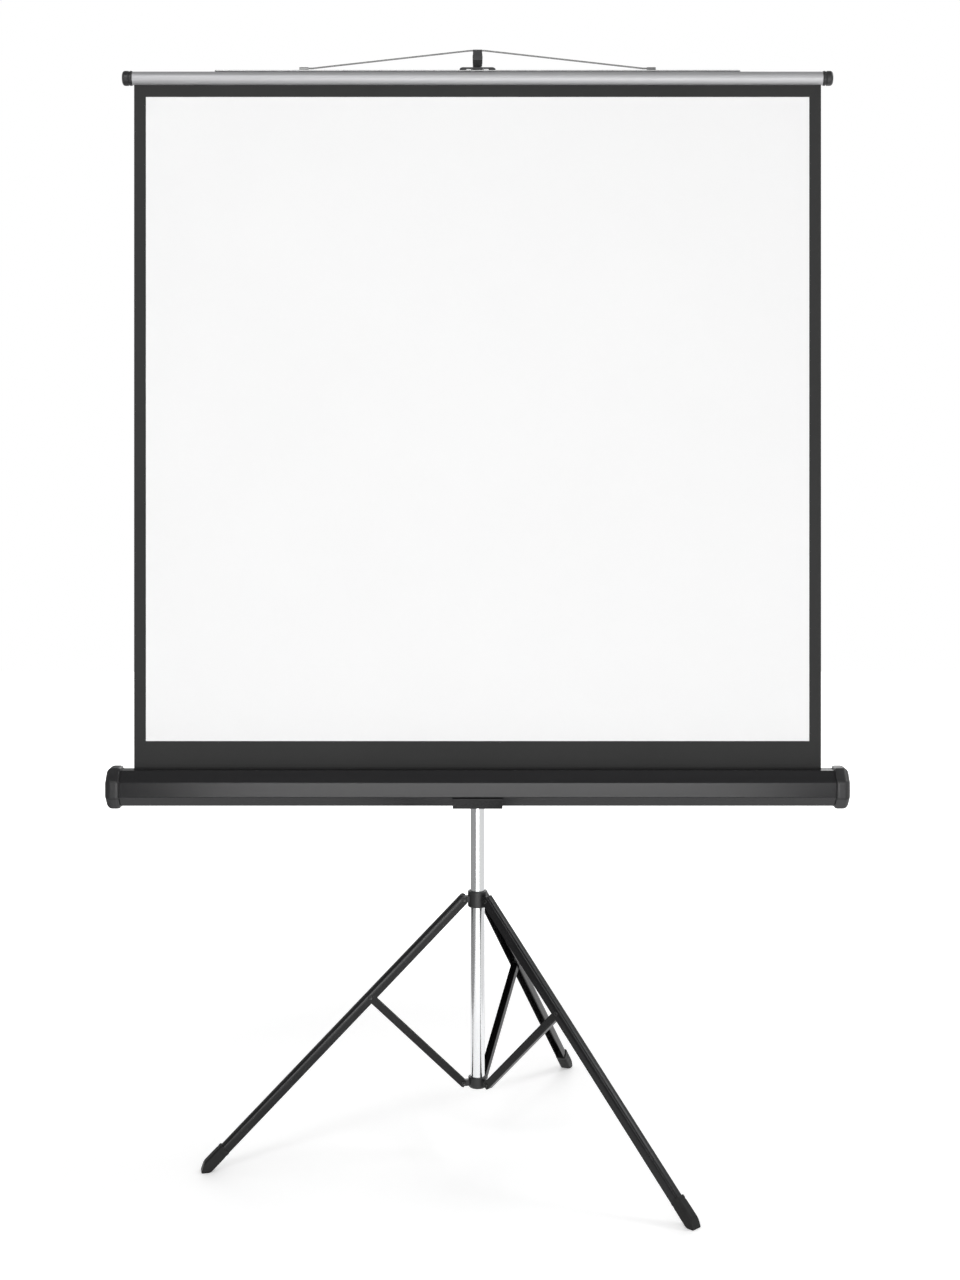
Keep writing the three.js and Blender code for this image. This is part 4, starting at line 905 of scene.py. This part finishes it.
class SCREEN_OT_case(bpy.types.Operator):
    """Roller case: a folded octagonal sheet with a slot on top, its saddle and its rivets"""

    bl_idname = "screen.case"
    bl_label = "Roller case and saddle"

    def rivet(self, node):
        """A turned rivet, from a domed foot up a shank to a flat head."""
        low, high = corners_of(node)
        tall, shank, rim = high[2] - low[2], 0.0025, 0.0016
        foot = [(0.0, 0.0), (0.002, 0.0001), (0.0038, 0.0006), (0.005, rim), (shank, rim)]
        head = [(shank, tall - rim), (0.005, tall - rim), (0.004, tall), (0.0, tall)]
        origin = middle_of(node) * (RIGHT + BACK) + low[2] * UP
        return revolved(foot + head, origin, UP, sides=32)

    def execute(self, context):
        sizes = context.scene.screen_sizes
        place = (CASE_CENTRE, BACK, UP, RIGHT)
        low, high = corners_of("case_shell")
        apothem = (high[2] - low[2]) / 2
        slot, gap, lip = FABRIC_Y - CASE_CENTRE[1], 0.0035, apothem - 0.005
        front = [(slot - gap, lip), (slot - gap, apothem)]
        rear = [(slot + gap, apothem), (slot + gap, lip)]
        folds = [0.0, 0.0006] + [sizes.case_fold] * 7 + [0.0012, 0.0006, 0.0]
        path = without_repeats(rounded(np.vstack([front, octagon(apothem), rear]), folds))
        outline = walled(path, sizes.case_wall)
        half = np.full(len(outline), (high[0] - low[0]) / 2)
        shell = bent_bar(outline, -half, half, place)
        finished("roller_case", [shell], "case_paint", "case", ["case_shell"])

        clear, thick = 0.0003, 0.006
        inner = octagon(apothem + clear)[2:7]
        outer = octagon(apothem + clear + thick)[2:7]
        bends = [0.002] + [0.0055] * 3 + [0.002, 0.0005] + [0.001] * 3 + [0.0005]
        outline = rounded(np.vstack([outer, inner[::-1]]), bends, 5)
        low, high = corners_of("case_saddle")
        saddle = drawn(outline, low[0], high[0], place)
        finished("case_saddle_plate", [saddle], "leg_paint", "case", ["case_saddle"], 0.0012)

        for hand, _ in HANDS:
            node = f"saddle_rivet_{hand}"
            finished(f"{node}_head", [self.rivet(node)], "zinc_plating", "case", [node])
        return {"FINISHED"}


class SCREEN_OT_end_caps(bpy.types.Operator):
    """Domed octagonal end caps with a sunk panel, and their screws"""

    bl_idname = "screen.end_caps"
    bl_label = "End caps"

    def cap(self, node, outward):
        """Octagons out along the case: a mouth over its end, a lip that swells by a sine, a dome that is
        a quarter circle, and a sunk panel."""
        low, high = corners_of(node)
        apothem = (high[2] - low[2]) / 2 + 0.0012
        inset, dome, swell = 0.01, 0.014, 0.065
        length = high[0] - low[0] - inset
        mouth = 0.0393 / apothem
        bend = np.radians(np.linspace(0, 90, 7))
        lip = np.stack([0.0075 * (1 - np.cos(bend)), 1 - swell + swell * np.sin(bend)], axis=-1)
        bend = np.radians(np.linspace(0, 90, 13))
        drop = dome * (1 - np.cos(bend))
        curve = np.stack([length - dome + dome * np.sin(bend), (apothem - drop) / apothem], axis=-1)
        panel = np.array([(0.0003, 0.655), (0.0012, 0.635), (0.0027, 0.62), (0.003, 0.6), (0.003, 0.2)])
        sunk = np.column_stack([length - panel[:, 0], panel[:, 1]])
        rows = np.vstack([(0.0135, mouth), (0.0, mouth), lip, curve, sunk])
        root = low[0] if outward[0] > 0 else high[0]
        origin = CASE_CENTRE + root * RIGHT + inset * outward
        return scaled_rows(rounded(octagon(apothem), 0.009, 10), rows, (origin, BACK, UP, outward))

    def screw(self, node, outward):
        """A turned screw from its head's middle: a hollow for the driver, a domed head and a shank."""
        low, high = corners_of(node)
        shank, tip = 0.002, low[0] - high[0]
        hollow = [(0.0, -0.0016), (0.0011, -0.0015), (0.0014, -0.0004)]
        dome = [(0.0019, 0.0), (0.0028, -0.0003), (0.0036, -0.001), (0.004, -0.0018), (0.004, -0.0025)]
        profile = hollow + dome + [(shank, -0.0025), (shank, tip), (0.0, tip)]
        face = high[0] if outward[0] > 0 else low[0]
        origin = middle_of(node) * (BACK + UP) + face * RIGHT
        return revolved(profile, origin, outward, sides=32)

    def execute(self, context):
        for hand, outward in HANDS:
            cap = self.cap(f"end_cap_{hand}", outward)
            finished(f"case_end_{hand}", [cap], "black_moulding", "case", [f"end_cap_{hand}"])
            for level in ("lower", "upper"):
                node = f"cap_screw_{hand}_{level}"
                screw = self.screw(node, outward)
                finished(f"end_screw_{hand}_{level}", [screw], "zinc_plating", "case", [node])
        return {"FINISHED"}


class SCREEN_OT_slat(bpy.types.Operator):
    """Half-round slat with its end knobs, top strip, grip and bail clips"""

    bl_idname = "screen.slat"
    bl_label = "Slat and fittings"

    def bar(self, node):
        """A round section with a flat back and a narrow groove below for the cloth."""
        radius, flat, groove = 0.015, 0.008, 0.001
        floor = flat - radius
        back = math.degrees(math.acos(flat / radius))
        edge = math.degrees(math.asin(groove / radius))
        front = arc((0.0, 0.0), radius, back, 270 - edge, 56)
        rear = arc((0.0, 0.0), radius, 270 + edge, 360 - back, 12)
        outline = np.vstack([front, (-groove, floor), (groove, floor), rear])
        low, high = corners_of(node)
        return drawn(outline, low[0], high[0], (SLAT_CENTRE, BACK, UP, RIGHT))

    def knob(self, node, outward):
        """A turned end knob: a rim with a groove, and a domed end."""
        low, high = corners_of(node)
        inner = high[0] if outward[0] < 0 else low[0]
        end, rim, dome = 0.0165, 0.002, 0.006
        neck = end - 0.0012
        foot = np.vstack([(0.0, 0.0), (end - rim, 0.0), arc((end - rim, rim), rim, -90, 0, 5)])
        groove = [(end, 0.005), (neck, 0.0062), (neck, 0.0076), (end, 0.0088)]
        head = np.vstack([arc((end - dome, 0.016), dome, 0, 90, 10), (0.004, 0.0218), (0.0, 0.0216)])
        return revolved(np.vstack([foot, groove, head]), SLAT_CENTRE + inner * RIGHT, outward)

    def clip(self, node):
        """A low clip over the wire's end, narrower and rounder at its top."""
        low, high = corners_of(node)
        high[2] = low[2] + 0.0064
        length, depth, tall = (high - low) / 2
        top = depth * 0.82
        corners = [(-depth, -tall), (depth, -tall), (top, tall), (-top, tall)]
        outline = rounded(corners, [0.0004, 0.0004, 0.0029, 0.0029])
        return drawn(outline, -length, length, ((low + high) / 2, BACK, UP, RIGHT))

    def strip(self, node):
        """A flat strip with round ends."""
        low, high = corners_of(node)
        length, depth, tall = (high - low) / 2
        corners = [(-length, -depth), (length, -depth), (length, depth), (-length, depth)]
        plan = rounded(corners, depth * 0.98, 10)
        return drawn(plan, -tall, tall, (middle_of(node), RIGHT, BACK, UP))

    def grip(self, node):
        """A low arch with a finger opening at each side: half an outline and its mirror image."""
        low, high = corners_of(node)
        end, depth, _ = (high - low) / 2
        tall, opening = 0.0058, 0.0032
        window = [(0.011, 0.0), (0.0125, opening), (0.0245, opening), (0.026, 0.0)]
        right = np.array(window + [(end, 0.0), (end - 0.001, tall * 0.62), (end - tall, tall)])
        left = right[::-1] * np.array([-1.0, 1.0])
        bends = [0.0003, 0.0012, 0.0012, 0.0003, 0.0004, 0.0018, 0.002]
        arch = rounded(np.vstack([right, left]), bends + bends[::-1], 4)
        origin = middle_of(node) * (RIGHT + BACK) + low[2] * UP
        return drawn(arch, -depth, depth, (origin, RIGHT, UP, -BACK))

    def execute(self, context):
        finished("top_slat", [self.bar("slat_bar")], "slat_alloy", "slat", ["slat_bar"], 0.0004)
        for hand, outward in HANDS:
            node = f"slat_cap_{hand}"
            finished(f"slat_knob_{hand}", [self.knob(node, outward)], "black_moulding", "slat", [node])
            node = f"bail_clip_{hand}"
            finished(f"bail_saddle_{hand}", [self.clip(node)], "wire_steel", "slat", [node], 0.0006)
        finished("bail_rail", [self.strip("bail_strip")], "dull_steel", "slat", ["bail_strip"], 0.0005)
        finished("slat_grip_arch", [self.grip("slat_grip")], "black_moulding", "slat", ["slat_grip"], 0.0008)
        return {"FINISHED"}


class SCREEN_OT_bail(bpy.types.Operator):
    """Wire bail over the hook: one bent wire in a plane that leans back"""

    bl_idname = "screen.bail"
    bl_label = "Wire bail"

    def line(self, end, height):
        """Straight runs between bends: an arc of 14 mm radius at each foot and of 50 mm by the hook. A
        far point closes the outline for the rounding, and its share of the points is cut off again."""
        foot, hook, steps = 0.367, 0.015, 8
        bends = [(-end, 0.0), (-foot, 0.0), (-hook, height), (hook, height), (foot, 0.0), (end, 0.0)]
        closed = rounded(bends + [(0.0, -1.0)], [0.0, 0.014, 0.05, 0.05, 0.014, 0.0, 0.0], steps)
        return without_repeats(closed[: (steps + 1) * len(bends)])

    def execute(self, context):
        radius = context.scene.screen_sizes.wire_radius
        low, high = corners_of("bail_wire")
        lean, rise = 0.026, high[2] - low[2] - 2 * radius
        slope = unit(np.array([0.0, lean, rise]))
        line = self.line(high[0], math.hypot(lean, rise))
        foot = np.array([0.0, FABRIC_Y, low[2] + radius])
        path = foot + line[:, :1] * RIGHT + line[:, 1:] * slope
        bail = wire(path, radius, np.cross(RIGHT, slope))
        finished("bail", [bail], "wire_steel", "bail", ["bail_wire"])
        return {"FINISHED"}


class SCREEN_OT_cloth(bpy.types.Operator):
    """Screen cloth: a taut sheet from the roller to the slat, and the turns left on the roller"""

    bl_idname = "screen.cloth"
    bl_label = "Screen cloth"

    def cloth_object(self, name, points, faces, flat, finishes):
        """A cloth piece, with its own map in metres from where each point is on the flat cloth."""
        mesh = mesh_of(name, points, faces)
        loops = np.zeros(len(mesh.loops), np.int32)
        mesh.loops.foreach_get("vertex_index", loops)
        own = mesh.uv_layers.new(name="threads")
        own.data.foreach_set("uv", flat[loops].astype(np.float32).ravel())
        for finish in finishes:
            mesh.materials.append(finish_named(finish))
        return linked(name, mesh)

    def sheet(self):
        """Front and back of a flat sheet, as two grids in x and height joined round their rims. The map
        runs from the middle and the foot."""
        across = np.linspace(FABRIC_LOW[0], FABRIC_HIGH[0], 49)
        along = np.linspace(FABRIC_LOW[2], FABRIC_HIGH[2], 65)
        x, z = np.meshgrid(across, along)
        half = (FABRIC_HIGH[1] - FABRIC_LOW[1]) / 2
        front, front_faces = skin(np.stack([x, np.full_like(x, FABRIC_Y - half), z], axis=-1), around=False)
        back = front + 2 * half * BACK
        count = len(front)
        index = np.arange(count).reshape(x.shape)
        rim = np.concatenate([index[0], index[1:, -1], index[-1, -2::-1], index[-2:0:-1, 0]])
        following = np.roll(rim, -1)
        side = np.stack([rim, rim + count, following + count, following], axis=-1)
        rear_faces = np.vstack([np.array(front_faces)[:, ::-1] + count, side]).tolist()
        points = np.vstack([front, back])
        flat = points[:, ::2] - np.array([0.0, FABRIC_LOW[2]])
        faces = front_faces + rear_faces
        cloth = self.cloth_object("screen_cloth", points, faces, flat, ["screen_face", "screen_back"])
        slots = np.repeat(np.arange(2, dtype=np.int32), [len(front_faces), len(rear_faces)])
        cloth.data.polygons.foreach_set("material_index", slots)
        return cloth

    def turns(self, radius=0.0204, growth=0.0008, count=2.75):
        """The turns on the roller: a spiral whose radius grows evenly with the angle, drawn across. Gives
        the piece and the length of cloth in it."""
        angle = np.linspace(0, TURN * count, int(72 * count) + 1)
        spiral = radius + growth * angle / angle[-1]
        line = ROLLER_AXIS[1:] + spiral[:, None] * circle(-angle)
        across = np.linspace(FABRIC_LOW[0], FABRIC_HIGH[0], 9)
        x = np.broadcast_to(across[None, :, None], (len(line), len(across), 1))
        rings = np.concatenate([x, np.broadcast_to(line[:, None], x.shape[:2] + (2,))], axis=-1)
        points, faces = skin(rings, around=False)
        run = run_along(line)
        flat = np.stack([points[:, 0], np.repeat(run, len(across))], axis=-1)
        turns = self.cloth_object("cloth_turns", points, faces, flat, ["screen_back"])
        turns.data.shade_smooth()
        return turns, float(run[-1])

    def execute(self, context):
        cloth = self.sheet()
        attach(cloth, "case")
        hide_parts("screen_fabric")
        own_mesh(cloth)

        turns, length = self.turns()
        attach(turns, "roller")
        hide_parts("fabric_wraps")
        return {"FINISHED"}


class SCREEN_OT_inner_pieces(bpy.types.Operator):
    """Finishes of the CAD pieces that stay: the roller's works, the bush and the pivot bolt"""

    bl_idname = "screen.inner_pieces"
    bl_label = "Roller works and small pieces"

    def execute(self, context):
        steel = "roller_tube roller_bracket_left roller_bracket_right spring_mandrel spring_anchor"
        steel += " roller_spring case_pivot_bolt"
        cream = "roller_plug_left roller_plug_right mast_bush"
        for names, finish, slot in (
            (steel, "zinc_plating", "zinc_steel"),
            (cream, "natural_nylon", "natural_nylon"),
        ):
            for name in names.split():
                piece = frame["nodes"][name]
                piece.data.materials.clear()
                piece.data.materials.append(finish_named(finish))
        return {"FINISHED"}


def seen_rays(owner, x, y):
    """One for what the camera, a reflection or clear material sees, and nought for other light."""
    ray = node_of(owner, "ShaderNodeLightPath", (x, y)).outputs
    seen = maths(owner, "MAXIMUM", (x + 200, y), ray["Is Camera Ray"], ray["Is Glossy Ray"])
    return maths(owner, "MAXIMUM", (x + 400, y), seen, ray["Is Transmission Ray"])


class SCREEN_OT_stage(bpy.types.Operator):
    """Pale floor, white surroundings, soft lamps, side cards and the camera"""

    bl_idname = "screen.stage"
    bl_label = "Stage"

    def floor(self):
        """A flat square, pale and plain, which keeps the shadow of what stands on it. Its own white grows
        with the distance from its middle: faint within 0.9 m, where the shadow is, and full past 3 m."""
        side, below = 9.0, 0.0004
        x, y = np.meshgrid(np.linspace(-side, side, 5), np.linspace(-side, side, 5))
        mesh = mesh_of("floor", *skin(np.stack([x, y, np.full_like(x, -below)], axis=-1), around=False))
        material, surface = shader("floor_paper")
        paper = tinted(material, grain(material, 40.0), (0.93, 0.93, 0.93), 0.995, 1.005, 160)
        place = place_on(material, -700)
        away = node_of(material, "ShaderNodeVectorMath", (-900, -700), {0: place}, operation="LENGTH")
        level = remapped(
            material, away.outputs["Value"], (0.9, 3.0), (0.31, 1.0), (-480, -700),
            interpolation_type="SMOOTHSTEP",
        )
        glow = maths(material, "MULTIPLY", (-180, -500), seen_rays(material, -700, -500), level)
        feed(material, surface, {"Base Color": paper, "Roughness": 0.9})
        feed(material, surface, {"Emission Color": WHITE, "Emission Strength": glow})
        mesh.materials.append(material)
        made = linked("floor", mesh)

    def surroundings(self):
        """A white room with a dim ceiling, as the camera, a reflection or clear material sees it alike, and
        a plain even level for its light. The ceiling is where a direction's height passes 0.5 to 0.9."""
        world = bpy.data.worlds.new("surroundings")
        bpy.context.scene.world = world
        world.use_nodes = True
        direction = node_of(world, "ShaderNodeTexCoord", (-900, 200)).outputs["Generated"]
        height = node_of(world, "ShaderNodeSeparateXYZ", (-680, 200), {"Vector": direction}).outputs["Z"]
        room = remapped(
            world, height, (0.5, 0.9), (1.0, 0.3), (-460, 200), interpolation_type="SMOOTHSTEP"
        )
        inputs = {"Factor": seen_rays(world, -900, -200), "A": 0.5, "B": room}
        level = node_of(world, "ShaderNodeMix", (-240, 0), inputs, data_type="FLOAT")
        sky = world.node_tree.nodes["Background"]
        feed(world, sky, {"Color": WHITE, "Strength": level.outputs["Result"]})

    def side_card(self, name, x, front, rear, top, level):
        """A plain upright card beside the object that only reflections see, for the plated tubes' edges."""
        corners = np.array([(x, front, 0.0), (x, rear, 0.0), (x, rear, top), (x, front, top)])
        mesh = mesh_of(name, corners, [[0, 1, 2, 3]])
        material, surface = shader(name)
        feed(material, surface, {"Base Color": BLACK, "Specular IOR Level": 0.0})
        feed(material, surface, {"Emission Color": WHITE, "Emission Strength": level})
        mesh.materials.append(material)
        card = linked(name, mesh)
        card.visible_camera = False
        card.visible_diffuse = False
        card.visible_transmission = False
        card.visible_shadow = False

    def camera(self):
        """A level camera at the photograph's height and distance, shifted down as its frame is."""
        lens = bpy.data.cameras.new("camera")
        lens.sensor_fit = "VERTICAL"
        lens.sensor_height = 36.0
        lens.sensor_width = 36.0
        lens.lens = 52.43
        lens.shift_x = 0.0019
        lens.shift_y = -0.1484
        made = linked("camera", lens)
        made.location = (0.0, POLE_AXIS[1] - 4.212, 1.5805)
        made.rotation_euler = (math.pi / 2, 0.0, 0.0)
        bpy.context.scene.camera = made

    def lamp(self, name, place, target, size, power):
        """A soft rectangular lamp that faces a target, out of the camera's sight."""
        light = bpy.data.lights.new(name, "AREA")
        light.shape = "RECTANGLE"
        light.size, light.size_y = size
        light.energy = power
        made = linked(name, light)
        made.location = place
        made.rotation_mode = "QUATERNION"
        made.rotation_quaternion = (Vector(target) - Vector(place)).to_track_quat("-Z", "Y")
        made.visible_camera = False

    def execute(self, context):
        context.scene.view_settings.view_transform = "Standard"
        self.floor()
        self.surroundings()
        self.camera()
        self.lamp("key_lamp", (-1.4, -4.4, 4.2), (0.0, -0.1, 1.5), (1.3, 1.3), 46.0)
        self.lamp("fill_lamp", (2.2, -5.0, 2.2), (0.0, -0.1, 1.4), (2.4, 2.4), 18.0)
        self.lamp("front_lamp", (0.0, -5.0, 0.37), (0.0, -0.16, 0.8), (4.0, 0.66), 70.0)
        self.lamp("side_lamp", (3.65, 0.31, 4.3), (0.3, -0.3, 0.35), (1.6, 1.6), 44.0)
        self.lamp("rear_lamp", (0.5, 4.5, 3.6), (0.0, 0.0, 1.2), (3.0, 3.0), 60.0)
        self.side_card("left_card", -1.0, -2.6, 2.6, 2.2, 0.34)
        self.side_card("right_card", 1.05, -2.6, 1.5, 0.75, 0.8)
        return {"FINISHED"}


STEPS = (
    SCREEN_OT_tubes,
    SCREEN_OT_hubs,
    SCREEN_OT_legs,
    SCREEN_OT_braces,
    SCREEN_OT_boots,
    SCREEN_OT_rivets,
    SCREEN_OT_clamps,
    SCREEN_OT_hook,
    SCREEN_OT_case,
    SCREEN_OT_end_caps,
    SCREEN_OT_slat,
    SCREEN_OT_bail,
    SCREEN_OT_cloth,
    SCREEN_OT_inner_pieces,
    SCREEN_OT_stage,
)


class SCREEN_PT_panel(bpy.types.Panel):
    """Lists the steps that finish the screen"""

    bl_idname = "SCREEN_PT_panel"
    bl_label = "Projection screen"
    bl_space_type = "VIEW_3D"
    bl_region_type = "UI"
    bl_category = "Screen"

    def draw(self, context):
        for step in STEPS:
            self.layout.operator(step.bl_idname)


CLASSES = (ScreenSizes, ScreenColours) + STEPS + (SCREEN_PT_panel,)


def register():
    """Registers the classes and puts their settings on the scene."""
    for item in CLASSES:
        bpy.utils.register_class(item)
    bpy.types.Scene.screen_sizes = PointerProperty(type=ScreenSizes)
    bpy.types.Scene.screen_colours = PointerProperty(type=ScreenColours)


def unregister():
    """Takes the settings and the classes away again."""
    del bpy.types.Scene.screen_colours
    del bpy.types.Scene.screen_sizes
    for item in reversed(CLASSES):
        bpy.utils.unregister_class(item)


def main():
    """Runs every step in order."""
    register()
    for step in STEPS:
        group, name = step.bl_idname.split(".")
        getattr(getattr(bpy.ops, group), name)()


if __name__ == "__main__":
    main()
